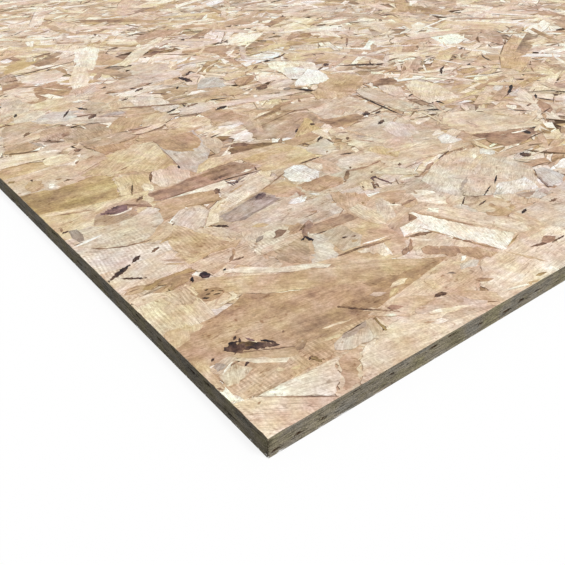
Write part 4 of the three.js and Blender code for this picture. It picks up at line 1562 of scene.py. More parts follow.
    lens(Tint.INK, 4, (271.5, 197), (274, 176), 2, full=True),
    lens(Tint.BARK, 4, (247, 184), (249.5, 189), 1.8),
    plate(Tint.BEIGE, 40, 3, (245, 182), (250, 194), (260, 196), (257, 184), (252, 177)),
    lens(Tint.UMBER, 4, (195, 160), (207, 167), 1.2),
    lens(Tint.MOSS, 4, (225, 163.5), (228, 166), 2.6),
    plate(Tint.SAND, 80, 3, (206, 157), (210, 165), (222, 164), (226, 150), (222, 135), (216, 126),
          (208, 132), ribs=1.0),
    plate(Tint.PEARL, 45, 3, (218, 128), (224, 145), (236, 158), (246, 162), (246, 152), (240, 142),
          (232, 130)),
    lens(Tint.IVORY, 4, (239, 151), (250.5, 141), 2.2),
    lens(Tint.MOSS, 4, (244, 146.5), (249, 148.5), 2.2),
    plate(Tint.COCOA, 8, 4, (249, 141), (254, 143.5), (262, 144), (267, 141.5), (258, 140.5)),
    plate(Tint.TAN, 20, 3, (250, 142), (256, 150), (266, 157), (275, 152), (272, 143), (262, 134),
          (252, 134)),
    plate(Tint.CREAM, -25, 3, (264, 140), (270, 150), (280, 154), (288, 148), (291, 138), (288, 126),
          (280, 121), (272, 128)),
    plate(Tint.FAWN, -20, 3, (242, 152), (246, 171), (262, 167), (275, 159), (263, 151), (251, 146)),
    plate(Tint.FAWN, 55, 2, (204, 160), (208, 176), (212, 186), (218, 198), (227, 191), (241, 177),
          (239, 167), (225, 160)),
    plate(Tint.HAZE, 30, 4, (343, 95), (362, 88), (372, 92), (371, 76), (361, 75), (352, 78), (343, 85)),
    plate(Tint.BLUSH, 15, 0, (200, 40), (206, 170), (300, 170), (312, 40)),
    plate(Tint.LILAC, 10, 1, (240, 132), (236, 160), (262, 176), (300, 168), (298, 134), (264, 122)),
    plate(Tint.PEARL, -10, 1, (312, 40), (310, 74), (345, 74), (404, 84), (404, 34), (350, 22)),
    plate(Tint.BLUSH, 5, 1, (318, -5), (326, 24), (370, 36), (410, 28), (410, -5)),
    # The middle, 200 to 400 mm both ways.
    plate(Tint.PEARL, -50, 3, (322, 152), (331, 156), (366, 122), (360, 114), (340, 132)),
    plate(Tint.PEARL, 30, 3, (320, 118), (328, 140), (342, 142), (350, 128), (338, 116)),
    plate(Tint.FROST, 25, 3, (328, 106), (350, 118), (380, 110), (372, 90), (345, 96)),
    lens(Tint.BEIGE, 3, (335, 170), (400, 186), 8),
    lens(Tint.SAND, 3, (350, 150), (395, 170), 5),
    lens(Tint.PEARL, 3, (346, 140), (376, 158), 5),
    plate(Tint.UMBER, 5, 4, (208, 337), (216, 342), (226, 336), (227, 330), (220, 328)),
    plate(Tint.RUST, -12, 3, (200, 330), (215, 335), (240, 325), (255, 315), (230, 317), (200, 320)),
    plate(Tint.TAN, -5, 1, (198, 322), (250, 316), (264, 302), (264, 262), (230, 260), (198, 270)),
    plate(Tint.PALE, 10, 3, (220, 345), (222, 360), (248, 365), (245, 350), (238, 335), (230, 335)),
    plate(Tint.ORANGE, 40, 3, (275, 316), (292, 332), (318, 352), (322, 345), (312, 330), (315, 318)),
    lens(Tint.SOOT, 4, (283, 325), (293, 334), 2.4),
    lens(Tint.BARK, 4, (310, 331), (316, 336), 5),
    plate(Tint.SOOT, 70, 4, (375, 317), (378, 324), (388, 326), (386, 318)),
    lens(Tint.BARK, 4, (390, 314), (402, 318), 3.4),
    plate(Tint.BROWN, -8, 3, (328, 337), (335, 335), (372, 328), (378, 318), (360, 312), (330, 310),
          (327, 322)),
    plate(Tint.DEW, -15, 3, (262, 272), (262, 284), (270, 290), (280, 291), (293, 296), (297, 290),
          (297, 280), (288, 268), (278, 262), (268, 262), ribs=0.6),
    lens(Tint.MOSS, 4, (284, 291), (297, 301), 2.8),
    lens(Tint.BARK, 4, (292, 295.5), (298, 299), 2.6),
    lens(Tint.BARK, 4, (296, 280), (297.5, 292), 2.2),
    lens(Tint.PALE, 4, (299, 286), (306, 304), 2),
    lens(Tint.BARK, 4, (313, 277), (318, 283), 4),
    lens(Tint.PLUM, 4, (308, 275), (315, 272.5), 2.4),
    lens(Tint.COCOA, 4, (318, 298), (328, 292.5), 2.4),
    plate(Tint.ASH, 20, 3, (326, 272), (328, 280), (337, 280), (336, 273)),
    lens(Tint.PLUM, 4, (320, 272), (331, 257), 3),
    plate(Tint.FAWN, 10, 2, (257, 300), (257, 315), (296, 317), (299, 304), (282, 297)),
    plate(Tint.BEIGE, 80, 3, (299, 288), (297, 314), (302, 328), (311, 325), (308, 300)),
    plate(Tint.PEARL, -20, 3, (262, 230), (263, 240), (270, 246), (284, 246), (298, 240), (313, 232),
          (306, 222), (296, 219), (280, 217), (264, 220), ribs=0.8),
    lens(Tint.MOSS, 4, (266, 223.5), (270, 226.5), 2.4),
    lens(Tint.BARK, 4, (307, 198.5), (313, 204), 2.4),
    lens(Tint.MOSS, 4, (274, 265), (278, 269), 2),
    plate(Tint.SAND, 80, 2, (241, 225), (242, 240), (249, 259), (260, 260), (263, 246), (261, 232),
          (256, 223)),
    plate(Tint.MIST, 70, 3, (239, 240), (239, 256), (248, 259), (253, 248), (246, 240)),
    lens(Tint.BARK, 4, (235, 261), (261, 262), 2.2),
    plate(Tint.FROST, 30, 3, (204, 238), (208, 250), (214, 258), (226, 262), (236, 258), (240, 246),
          (238, 234), (230, 227), (220, 226), (210, 229), ribs=0.8),
    lens(Tint.UMBER, 4, (242, 204), (264, 222.5), 5),
    lens(Tint.PLUM, 4, (260, 221.5), (284, 216), 3),
    lens(Tint.PLUM, 4, (278, 216), (303, 219), 2.4),
    lens(Tint.UMBER, 4, (268, 382), (322, 393), 6),
    lens(Tint.UMBER, 4, (260, 362), (356, 386), 1.8),
    plate(Tint.BLUSH, 62, 3, (252, 350), (260, 350), (288, 402), (278, 404)),
    lens(Tint.BARK, 4, (281, 254), (296, 248), 2.6),
    lens(Tint.BARK, 4, (275, 204), (279, 206), 2),
    plate(Tint.SAND, 60, 4, (325, 300), (330, 302), (345, 262), (341, 259), (334, 272)),
    lens(Tint.BARK, 4, (369, 288), (384, 296), 5),
    plate(Tint.PEARL, -10, 1, (300, 200), (310, 300), (404, 312), (404, 190), (350, 196)),
    plate(Tint.DUSK, 20, 1, (240, 336), (262, 402), (340, 404), (330, 338), (276, 316)),
    plate(Tint.LILAC, 10, 1, (205, 196), (203, 266), (300, 262), (300, 200), (262, 190)),
    plate(Tint.BLUSH, 15, 1, (334, 336), (344, 404), (408, 404), (408, 320)),
    # Farther off, only what stands out.
    plate(Tint.BROWN, 10, 2, (204, 227), (203, 212), (212, 204), (240, 203), (247, 212), (240, 226),
          (228, 226)),
    plate(Tint.ORANGE, 5, 3, (203, 291), (203, 304), (240, 306), (258, 303), (258, 291), (230, 294)),
    plate(Tint.PEARL, 15, 4, (328, 236), (332, 250), (357, 251), (366, 240), (350, 233)),
    plate(Tint.FROST, 20, 4, (382, 212), (391, 225), (406, 226), (406, 204), (392, 205)),
    lens(Tint.CREAM, 4, (318, 229), (374, 226), 8),
    plate(Tint.MIST, 60, 4, (358, 244), (362, 276), (386, 286), (397, 266), (386, 244)),
    plate(Tint.TAN, 60, 3, (309, 246), (314, 226), (322, 214), (336, 226), (326, 247)),
    plate(Tint.SOOT, 70, 6, (283, 567), (289, 566), (293, 552), (290, 541), (284, 546)),
    plate(Tint.PALE, 10, 5, (180, 542), (196, 556), (230, 562), (258, 554), (240, 542), (206, 538)),
    lens(Tint.BARK, 6, (213, 549), (229, 557), 6),
    plate(Tint.ROSE, 10, 3, (200, 470), (206, 520), (240, 540), (300, 526), (305, 480), (258, 464)),
    plate(Tint.FAWN, 75, 3, (263, 532), (272, 568), (284, 566), (278, 530)),
    lens(Tint.BARK, 6, (258, 525), (266, 536), 2.6),
    lens(Tint.BARK, 6, (129, 497), (143, 508), 7),
    lens(Tint.BARK, 6, (107, 516), (126, 541), 3),
    lens(Tint.BARK, 6, (133, 542), (142, 524), 4),
    lens(Tint.BARK, 6, (53, 489), (64, 501), 5),
    lens(Tint.UMBER, 6, (85, 464), (96, 476), 8),
    plate(Tint.PEARL, -30, 3, (72, 520), (82, 532), (130, 508), (164, 480), (156, 470), (112, 492)),
    lens(Tint.UMBER, 6, (170, 508), (242, 474), 5, full=True),
    lens(Tint.BARK, 6, (204, 460), (226, 469), 2.6),
    lens(Tint.BARK, 6, (254, 434), (277, 441), 6),
    lens(Tint.BARK, 6, (374, 439), (389, 417), 6),
    lens(Tint.MIST, 6, (228, 455), (377, 424), 16),
    plate(Tint.BARK, 20, 6, (335, 460), (339, 472), (355, 475), (350, 462)),
    lens(Tint.COCOA, 6, (330, 486), (367, 516), 5),
    plate(Tint.DUSK, -60, 5, (203, 660), (222, 670), (244, 630), (248, 608), (228, 614)),
    plate(Tint.PALE, 62, 5, (188, 672), (214, 664), (268, 760), (256, 776), (232, 768)),
    plate(Tint.CREAM, 38, 5, (246, 662), (256, 652), (320, 706), (374, 748), (366, 762), (300, 716)),
    plate(Tint.COCOA, 36, 4, (296, 678), (304, 672), (350, 702), (388, 732), (382, 740), (336, 710)),
    lens(Tint.BARK, 4, (379, 715), (392, 731), 7),
    lens(Tint.UMBER, 6, (318, 676), (360, 642), 4),
    lens(Tint.UMBER, 6, (115, 699), (209, 719), 4.5),
    plate(Tint.BROWN, 25, 4, (110, 594), (120, 638), (150, 650), (162, 612), (146, 590)),
    plate(Tint.BEIGE, 10, 3, (84, 604), (88, 650), (112, 664), (132, 640), (124, 604)),
    lens(Tint.PLUM, 6, (128, 634), (157, 648), 12),
    plate(Tint.STRAW, 10, 2, (66, 556), (76, 584), (140, 588), (152, 562), (110, 550)),
    lens(Tint.BARK, 4, (296, 567), (314, 583), 3),
    plate(Tint.BEIGE, -15, 3, (427, 253), (455, 267), (517, 240), (522, 213), (517, 183), (497, 180),
          (460, 195), (425, 208)),
    plate(Tint.PLUM, -25, 4, (425, 207), (460, 193), (497, 178), (482, 170), (450, 162), (425, 167)),
    plate(Tint.BARK, -20, 4, (458, 194), (480, 183), (500, 179), (472, 167), (462, 180)),
    lens(Tint.BARK, 4, (442, 163), (492, 166), 2),
    lens(Tint.COCOA, 4, (546, 194), (575, 228), 16),
    lens(Tint.FAWN, 4, (519, 181), (562, 217), 4),
    lens(Tint.BARK, 4, (602, 225), (619, 232), 7),
    lens(Tint.BARK, 4, (619, 297), (641, 269), 8),
    lens(Tint.BARK, 4, (577, 234), (591, 244), 3.4),
    lens(Tint.BARK, 4, (559, 261), (606, 288), 5),
    lens(Tint.ORANGE, 3, (498, 287), (566, 249), 10),
    lens(Tint.BARK, 4, (442, 289), (463, 275), 5),
    lens(Tint.BARK, 4, (418, 376), (410, 292), 2.4),
    plate(Tint.BROWN, 70, 4, (452, 300), (456, 326), (464, 318), (463, 298)),
    plate(Tint.SAND, 60, 3, (420, 318), (424, 364), (446, 368), (449, 320)),
    plate(Tint.FAWN, 10, 3, (458, 352), (464, 392), (500, 396), (502, 356)),
    lens(Tint.BARK, 4, (667, 332), (680, 340), 6),
    lens(Tint.BARK, 4, (619, 367), (630, 376), 6),
    plate(Tint.WHITE, 35, 3, (750, 348), (756, 340), (792, 368), (786, 376)),
    plate(Tint.WHITE, 60, 6, (384, 447), (400, 438), (420, 437), (434, 443), (442, 458), (446, 476),
          (439, 492), (420, 478), (402, 466), (390, 458)),
    plate(Tint.WHITE, 60, 4, (680, 467), (700, 517), (724, 537), (744, 523), (748, 500), (728, 453),
          (700, 456)),
    plate(Tint.WHEAT, -15, 2, (450, 570), (500, 567), (523, 547), (520, 517), (547, 500), (543, 453),
          (527, 452), (500, 480), (467, 510), (450, 537)),
    lens(Tint.BARK, 4, (482, 479), (539, 446), 8),
    lens(Tint.SOOT, 4, (466, 487), (479, 498), 8),
    plate(Tint.WHITE, 35, 4, (533, 567), (538, 547), (572, 508), (588, 525), (614, 540), (607, 548),
          (574, 524), (552, 534), (545, 560)),
    lens(Tint.UMBER, 4, (556, 542), (601, 589), 3.5),
    lens(Tint.BROWN, 4, (602, 678), (674, 624), 5),
    lens(Tint.BARK, 4, (686, 609), (725, 639), 8),
    lens(Tint.BARK, 4, (399, 604), (434, 631), 6),
    lens(Tint.BARK, 4, (714, 751), (730, 789), 7),
    plate(Tint.FAWN, 30, 2, (716, 484), (722, 580), (800, 584), (806, 486)),
    plate(Tint.FAWN, 5, 4, (650, 506), (656, 546), (690, 544), (692, 508)),
    lens(Tint.SLATE, 3, (545, 658), (589, 715), 13),
    plate(Tint.BROWN, -14, 4, (607, 784), (680, 772), (753, 744), (750, 728), (676, 750), (604, 766)),
    lens(Tint.BARK, 4, (752, 497), (763, 504), 5),
    lens(Tint.BARK, 4, (772, 469), (799, 484), 6),
    lens(Tint.BARK, 4, (634, 474), (648, 483), 6),
    lens(Tint.BARK, 4, (672, 429), (704, 438), 5),
    lens(Tint.BARK, 4, (497, 686), (514, 711), 7),
    lens(Tint.BARK, 4, (519, 669), (529, 681), 6),
    # The left from 380 to 740 mm across, in the upper layers.
    lens(Tint.BROWN, 4, (276, 379), (346, 408), 7),
    lens(Tint.BARK, 6, (183, 528), (196, 534), 3),
    lens(Tint.UMBER, 6, (202, 515), (209, 519), 5),
    lens(Tint.UMBER, 6, (233, 463), (251, 467), 8),
    lens(Tint.BARK, 6, (66, 552), (72, 562), 4),
    lens(Tint.UMBER, 6, (50, 538), (56, 529), 3.5),
    lens(Tint.SMOKE, 6, (62, 452), (52, 474), 6),
    lens(Tint.UMBER, 6, (12, 453), (36, 444), 3.5),
    lens(Tint.UMBER, 6, (80, 425), (88, 423), 5),
    lens(Tint.CREAM, 6, (98, 438), (137, 432), 5),
    lens(Tint.PALE, 6, (140, 446), (166, 478), 4, full=True),
    lens(Tint.PALE, 6, (148, 444), (166, 466), 3.5),
    lens(Tint.BROWN, 6, (166, 424), (196, 408), 4),
    lens(Tint.SMOKE, 6, (140, 497), (174, 493), 12),
    lens(Tint.DUSK, 6, (88, 534), (104, 546), 4),
    plate(Tint.STRAW, 20, 6, (142, 428), (160, 434), (184, 438), (192, 434), (178, 427), (156, 423)),
    plate(Tint.TAN, -10, 6, (-2, 423), (22, 420), (48, 414), (60, 408), (44, 402), (20, 399), (-2, 400)),
    plate(Tint.CREAM, 10, 6, (40, 412), (50, 424), (66, 424), (76, 412), (78, 402), (60, 399), (46, 403)),
    plate(Tint.CREAM, -15, 6, (3, 424), (8, 446), (20, 452), (50, 444), (72, 434), (66, 424), (40, 424)),
    plate(Tint.BLUSH, 20, 6, (50, 444), (66, 456), (84, 450), (88, 438), (72, 433)),
    plate(Tint.ROSE, 20, 6, (22, 456), (30, 476), (44, 480), (58, 470), (60, 455), (44, 450)),
    plate(Tint.SAND, 10, 6, (28, 478), (36, 498), (56, 500), (72, 490), (66, 478), (48, 474)),
    plate(Tint.DUSK, 15, 6, (36, 500), (44, 528), (62, 534), (80, 524), (84, 504), (64, 498)),
    plate(Tint.PEARL, 30, 6, (60, 534), (66, 556), (80, 562), (104, 552), (98, 538), (82, 528)),
    plate(Tint.HAZE, -25, 6, (76, 520), (84, 540), (110, 544), (130, 530), (124, 512), (96, 506)),
    plate(Tint.SAND, 10, 6, (104, 546), (112, 562), (136, 562), (146, 548), (132, 534), (114, 534)),
    plate(Tint.LILAC, 30, 6, (134, 516), (140, 544), (156, 552), (170, 536), (166, 514), (150, 506)),
    plate(Tint.TAN, 30, 6, (154, 546), (160, 562), (178, 564), (190, 546), (184, 532), (166, 534)),
    plate(Tint.BLUSH, 60, 6, (160, 502), (164, 528), (180, 536), (194, 524), (190, 504), (176, 496)),
    plate(Tint.MIST, 60, 6, (190, 500), (192, 528), (208, 532), (226, 512), (228, 490), (214, 482)),
    plate(Tint.PEARL, 20, 6, (196, 478), (206, 492), (226, 486), (232, 474), (218, 464), (204, 466)),
    plate(Tint.ROSE, -20, 6, (166, 478), (176, 504), (196, 500), (206, 482), (194, 466), (176, 464)),
    plate(Tint.DUSK, 80, 6, (62, 470), (70, 492), (88, 500), (104, 488), (100, 470), (84, 458), ribs=0.8),
    plate(Tint.DUSK, 80, 6, (80, 442), (84, 462), (98, 470), (110, 458), (104, 440), ribs=0.8),
    plate(Tint.DUSK, 80, 6, (82, 446), (86, 464), (104, 476), (130, 470), (140, 452), (128, 440), ribs=0.8),
    plate(Tint.ROSE, 50, 6, (128, 440), (136, 462), (158, 482), (172, 478), (178, 458), (160, 440)),
    plate(Tint.SAND, 40, 6, (164, 440), (176, 462), (190, 476), (206, 464), (208, 446), (190, 436)),
    plate(Tint.CAMEL, 80, 6, (94, 422), (120, 416), (136, 402), (122, 396), (100, 398), ribs=0.8),
    plate(Tint.DUSK, 10, 6, (96, 440), (126, 444), (150, 436), (146, 420), (120, 414), (94, 420)),
    plate(Tint.TAN, -20, 6, (138, 398), (148, 420), (170, 424), (196, 412), (210, 402), (196, 396)),
    plate(Tint.WHEAT, 20, 6, (184, 424), (192, 436), (212, 440), (230, 430), (234, 412), (224, 400),
          (204, 404)),
    plate(Tint.ROSE, 10, 6, (226, 398), (236, 416), (232, 436), (256, 442), (270, 424), (266, 400)),
    plate(Tint.PEARL, 5, 6, (216, 446), (224, 462), (246, 472), (266, 462), (264, 446), (240, 438)),
    lens(Tint.BROWN, 6, (178, 668), (180, 716), 12),
    lens(Tint.BROWN, 6, (150, 720), (204, 752), 22),
    plate(Tint.CREAM, 62, 6, (158, 606), (168, 640), (186, 672), (200, 694), (210, 676), (196, 640),
          (180, 608)),
    plate(Tint.PEARL, 60, 6, (54, 560), (72, 612), (92, 604), (98, 580), (84, 562)),
    plate(Tint.BEIGE, 10, 6, (86, 566), (98, 582), (122, 588), (150, 580), (146, 564), (110, 556)),
    plate(Tint.BROWN, 30, 6, (86, 650), (96, 672), (112, 676), (124, 664), (112, 656), (98, 652)),
    plate(Tint.MIST, 20, 6, (118, 664), (124, 692), (150, 700), (180, 694), (182, 676), (160, 656),
          (136, 652)),
    plate(Tint.ORANGE, 20, 6, (112, 716), (122, 748), (146, 760), (170, 750), (152, 732), (130, 722)),
    plate(Tint.PEARL, 10, 6, (186, 570), (196, 594), (220, 604), (242, 594), (238, 574), (212, 564)),
    plate(Tint.MIST, 10, 6, (232, 574), (244, 598), (272, 604), (300, 594), (296, 574), (262, 566)),
    plate(Tint.PEARL, 10, 6, (240, 600), (250, 636), (280, 648), (304, 630), (296, 606), (268, 594)),
    # The middle from 280 to 530 mm along, in the upper layers.
    lens(Tint.BARK, 6, (336, 460), (356, 473), 9),
    lens(Tint.SLATE, 6, (360, 443), (373, 446), 9),
    lens(Tint.PALE, 6, (388, 420), (404, 436), 8),
    lens(Tint.UMBER, 6, (341, 386), (355, 408), 3),
    lens(Tint.COCOA, 6, (300, 397), (345, 406), 9),
    lens(Tint.UMBER, 6, (372, 479), (380, 484), 4),
    lens(Tint.UMBER, 6, (384, 538), (398, 547), 3.5),
    plate(Tint.BROWN, 25, 6, (326, 488), (332, 508), (345, 517), (366, 516), (362, 504), (345, 494)),
    plate(Tint.TAN, 10, 6, (326, 518), (330, 534), (345, 541), (366, 538), (362, 524), (345, 520)),
    plate(Tint.HAZE, 30, 6, (278, 512), (290, 528), (306, 544), (322, 540), (324, 520), (312, 500),
          (292, 508)),
    plate(Tint.ROSE, 10, 6, (292, 474), (298, 496), (316, 500), (326, 484), (318, 466), (300, 462)),
    plate(Tint.DUSK, -10, 6, (316, 456), (326, 464), (350, 458), (358, 446), (350, 440), (330, 446)),
    plate(Tint.PEARL, 10, 6, (356, 458), (362, 474), (380, 480), (398, 476), (392, 460), (372, 452)),
    plate(Tint.CREAM, 10, 6, (352, 478), (360, 496), (384, 500), (398, 490), (392, 476), (372, 482)),
    plate(Tint.PALE, 40, 6, (380, 446), (388, 456), (402, 462), (400, 440), (390, 438)),
    plate(Tint.PALE, 60, 6, (396, 478), (402, 500), (404, 530), (414, 548), (428, 546), (440, 534),
          (420, 510)),
    plate(Tint.LILAC, 5, 6, (312, 388), (322, 400), (345, 398), (366, 394), (372, 378), (350, 370),
          (330, 378)),
    plate(Tint.ROSE, 30, 6, (396, 420), (408, 434), (432, 446), (456, 456), (470, 440), (476, 420),
          (458, 404), (440, 392), (420, 386), (404, 396)),
    plate(Tint.TAN, 60, 6, (372, 394), (380, 416), (398, 420), (410, 396), (416, 380), (396, 378)),
    plate(Tint.COCOA, 10, 6, (458, 384), (466, 398), (486, 402), (500, 392), (492, 376), (470, 376)),
    plate(Tint.LILAC, 20, 6, (458, 402), (470, 424), (492, 426), (502, 410), (490, 400), (472, 398)),
    plate(Tint.CREAM, 40, 6, (464, 302), (469, 330), (494, 367), (517, 372), (526, 340), (508, 292)),
    plate(Tint.PEARL, 85, 6, (419, 300), (418, 340), (420, 370), (428, 386), (440, 390), (450, 382),
          (448, 350), (446, 320), (440, 300)),
    plate(Tint.MIST, 50, 6, (450, 345), (452, 368), (464, 384), (478, 380), (482, 362), (468, 344),
          (462, 330)),
    plate(Tint.FROST, 60, 6, (393, 473), (401, 494), (413, 517), (424, 523), (434, 505), (438, 493),
          (418, 477), (404, 465)),
    plate(Tint.PALE, 58, 6, (434, 490), (445, 509), (440, 527), (451, 531), (461, 519), (465, 508),
          (453, 489), (446, 476)),
    plate(Tint.CREAM, 62, 6, (408, 514), (418, 533), (434, 541), (450, 532), (440, 510), (426, 503)),
)


def measured(outline: np.ndarray) -> tuple[float, float]:
    """Measures a closed outline.

    Args:
        outline: Its points in order, as rows of X and Y.

    Returns:
        Its area, which is negative where it runs clockwise, and its length around.
    """
    after = np.roll(outline, -1, axis=0)
    area = (outline[:, 0] * after[:, 1] - after[:, 0] * outline[:, 1]).sum() / 2
    return float(area), float(np.hypot(*(after - outline).T).sum())


def grain_axes(degrees: float) -> np.ndarray:
    """The directions along and across a grain, as two rows of X and Y."""
    angle = math.radians(degrees)
    return np.array([[math.cos(angle), math.sin(angle)], [-math.sin(angle), math.cos(angle)]])


class PlacedShaper:
    """Cuts the strands that are placed one by one, frays their edges and lays them in order.

    Lengths are in millimetres. The first depth is that of the first strand of the base layer. An
    outline is broken into parts: short ones at torn ends, and shorter ones all round dark specks.
    """

    BASE_LAYER = 4
    FIRST_DEPTH = 0.04
    LAYER_STEP = 0.08
    ORDER_STEP = 0.0004
    THICKNESS = 0.35
    CROWN = 0.03
    CROWN_REACH = 4.0
    DARK_TONE = 0.25
    PART = 6.0
    TORN_PART = 3.0
    DARK_PART = 1.3
    TORN_FROM = 0.3
    ROW_STEP = (0.5, 9.0)
    COLUMN_STEP = 16.0
    # how far in the rim band reaches, which is feathered and takes painted shade
    SHADED_RIM = 0.9
    WAVE = 0.45
    TORN_WAVE = 1.5
    FRAYINGS = (1.0, 0.4, 0.0)
    TONE_STRAY = 0.03
    HUE_STRAY = 0.1

    def __init__(self, seed: int) -> None:
        """Sets up the cutter.

        Args:
            seed: What the chances start from.
        """
        self.chance = np.random.default_rng(seed)

    def frayed(self, strand: PlacedStrand, amount: float) -> np.ndarray:
        """Breaks a strand's outline up: its sides wave a little and its ends are torn.

        Args:
            strand: The strand.
            amount: How strongly it is frayed, from 0 to 1.

        Returns:
            The outline, counter-clockwise, as rows of X and Y in millimetres.
        """
        corners = np.array(strand.outline, dtype=float)
        area, around = measured(corners)
        narrow = 2 * abs(area) / around
        if area < 0:
            corners = corners[::-1]
        along_grain = grain_axes(strand.grain)[0]
        smooth = self.DARK_PART if strand.tint.value[0] < self.DARK_TONE else self.PART
        points = []
        for here, there in zip(corners, np.roll(corners, -1, axis=0)):
            run = there - here
            length = max(float(np.hypot(*run)), 1e-6)
            inward = np.array([-run[1], run[0]]) / length
            torn = 1 - abs(float(run @ along_grain)) / length
            longest = self.TORN_PART if torn > self.TORN_FROM else self.PART
            parts = max(1, round(length / min(smooth, longest, 1.5 + narrow)))
            reach = self.WAVE + self.TORN_WAVE * torn
            reach = min(reach, 0.12 * length + 0.1, 0.25 * narrow) * amount
            for part in range(parts):
                points.append(here + run * part / parts + inward * self.chance.normal(0.0, reach))
        return np.array(points)

    @staticmethod
    def rim_distance(points: np.ndarray, outline: np.ndarray) -> np.ndarray:
        """How far each point lies from the nearest stretch of an outline.

        Args:
            points: Rows of X and Y.
            outline: The outline's points in order.

        Returns:
            The distances.
        """
        run = np.roll(outline, -1, axis=0) - outline
        offset = points[:, None, :] - outline[None, :, :]
        share = np.clip((offset * run).sum(2) / np.maximum((run * run).sum(1), 1e-9), 0.0, 1.0)
        return np.sqrt(((offset - share[:, :, None] * run) ** 2).sum(2)).min(1)

    def inner(self, outline: np.ndarray, grain: float) -> np.ndarray:
        """Chooses points inside an outline, on rows that follow the grain.

        Args:
            outline: The outline.
            grain: The grain's angle, in degrees.

        Returns:
            The points as rows of X and Y.
        """
        area, around = measured(outline)
        half_width = abs(area) / around
        step = min(max(half_width, self.ROW_STEP[0]), self.ROW_STEP[1])
        stride = min(step * 3, self.COLUMN_STEP)
        reach = min(self.SHADED_RIM, 0.4 * half_width)
        turn = grain_axes(grain)
        local = outline @ turn.T
        middle = local.mean(axis=0)
        low, high = local.min(axis=0) - middle, local.max(axis=0) - middle
        columns = np.arange(math.ceil(low[0] / stride), high[0] / stride) * stride
        rows = np.arange(math.ceil(low[1] / step), high[1] / step) * step
        grid = np.array([(x, y) for x in columns for y in rows]) + middle
        inside = np.array([point for point in grid if self.holds(local, point)]).reshape(-1, 2)
        if len(inside):
            inside = inside[self.rim_distance(inside, local) > 1.8 * reach]
        return np.vstack([inside @ turn, self.ring(outline, reach)])

    def ring(self, outline: np.ndarray, reach: float) -> np.ndarray:
        """Chooses points a little way inside an outline's corners, where its rim band ends, which is
        feathered and takes painted shade.

        Args:
            outline: The outline, counter-clockwise.
            reach: How far inside they lie.

        Returns:
            The points as rows of X and Y.
        """
        run = np.roll(outline, -1, axis=0) - np.roll(outline, 1, axis=0)
        inward = np.column_stack([-run[:, 1], run[:, 0]]) / np.maximum(np.hypot(*run.T), 1e-9)[:, None]
        made = outline + inward * reach
        made = np.array([point for point in made if self.holds(outline, point)]).reshape(-1, 2)
        if len(made):
            made = made[self.rim_distance(made, outline) > 0.6 * reach]
        return made

    @staticmethod
    def holds(outline: np.ndarray, point: np.ndarray) -> bool:
        """Tells whether a point lies inside an outline."""
        after = np.roll(outline, -1, axis=0)
        crossed = (outline[:, 1] > point[1]) != (after[:, 1] > point[1])
        rise = np.where(crossed, after[:, 1] - outline[:, 1], 1.0)
        meets = outline[:, 0] + (point[1] - outline[:, 1]) * (after[:, 0] - outline[:, 0]) / rise
        return bool((crossed & (point[0] < meets)).sum() % 2)

    def slab(self, strand: PlacedStrand, order: int) -> dict[str, Any]:
        """Cuts one strand as a closed thin slab at its own depth under the face.

        Args:
            strand: The strand.
            order: Its place in the list, which parts it from others of its layer.

        Returns:
            Its vertices, faces and the numbers of its wood, a row a vertex.
        """
        for amount in self.FRAYINGS:
            outline = self.frayed(strand, amount)
            inner = self.inner(outline, strand.grain)
            flat = [Vector(point) for point in np.vstack([outline, inner])]
            count = len(outline)
            made = delaunay_2d_cdt(flat, [], [list(range(count))], 1, 1e-5)
            if len(made[0]) == len(flat):
                break
        points = np.array([tuple(point) for point in made[0]])
        rim = np.zeros(len(points))
        if len(points) > count:
            rim[count:] = self.rim_distance(points[count:], outline)
        depth = self.FIRST_DEPTH + self.LAYER_STEP * (self.BASE_LAYER - strand.layer)
        depth += self.ORDER_STEP * order
        crown = np.clip(rim / self.CROWN_REACH, 0.0, 1.0) * self.CROWN
        top = np.column_stack([points, crown - depth])
        under = np.column_stack([points[:count], np.full(count, -depth - self.THICKNESS)])
        faces = [tuple(face) for face in made[2]]
        base = len(points)
        faces += [(i, base + i, base + (i + 1) % count, (i + 1) % count) for i in range(count)]
        faces.append(tuple(base + i for i in reversed(range(count))))
        centre = outline.mean(axis=0)
        places = (np.vstack([points, points[:count]]) - centre) @ grain_axes(strand.grain).T
        tone, hue, blush = strand.tint.value
        return {
            "points": np.vstack([top, under]),
            "faces": faces,
            "grain": np.column_stack([places, np.concatenate([rim, rim[:count]])]),
            "tone": tone + self.chance.uniform(-self.TONE_STRAY, self.TONE_STRAY),
            "hue": hue + self.chance.uniform(-self.HUE_STRAY, self.HUE_STRAY),
            "chance": self.chance.uniform(0.0, 1.0),
            "blush": blush,
            "ribs": strand.ribs,
            "soft": softness(2 * float(rim.max())),
            "middle": centre[1],
        }

    def strips(
        self, strands: tuple[PlacedStrand, ...], borders: np.ndarray
    ) -> list[bpy.types.Mesh | None]:
        """Cuts all strands and sorts them into the strips that their middles lie in.

        Args:
            strands: The strands.
            borders: The strips' borders across the sheet, in metres.

        Returns:
            One joined mesh a strip, or None where it has none.
        """
        slabs: list[list[dict[str, Any]]] = [[] for _ in borders[1:]]
        for order, strand in enumerate(strands):
            slab = self.slab(strand, order)
            place = np.searchsorted(borders, CAD_BOX[0].y + slab["middle"] * MM) - 1
            slabs[int(np.clip(place, 0, len(slabs) - 1))].append(slab)
        return [self.joined(group) if group else None for group in slabs]

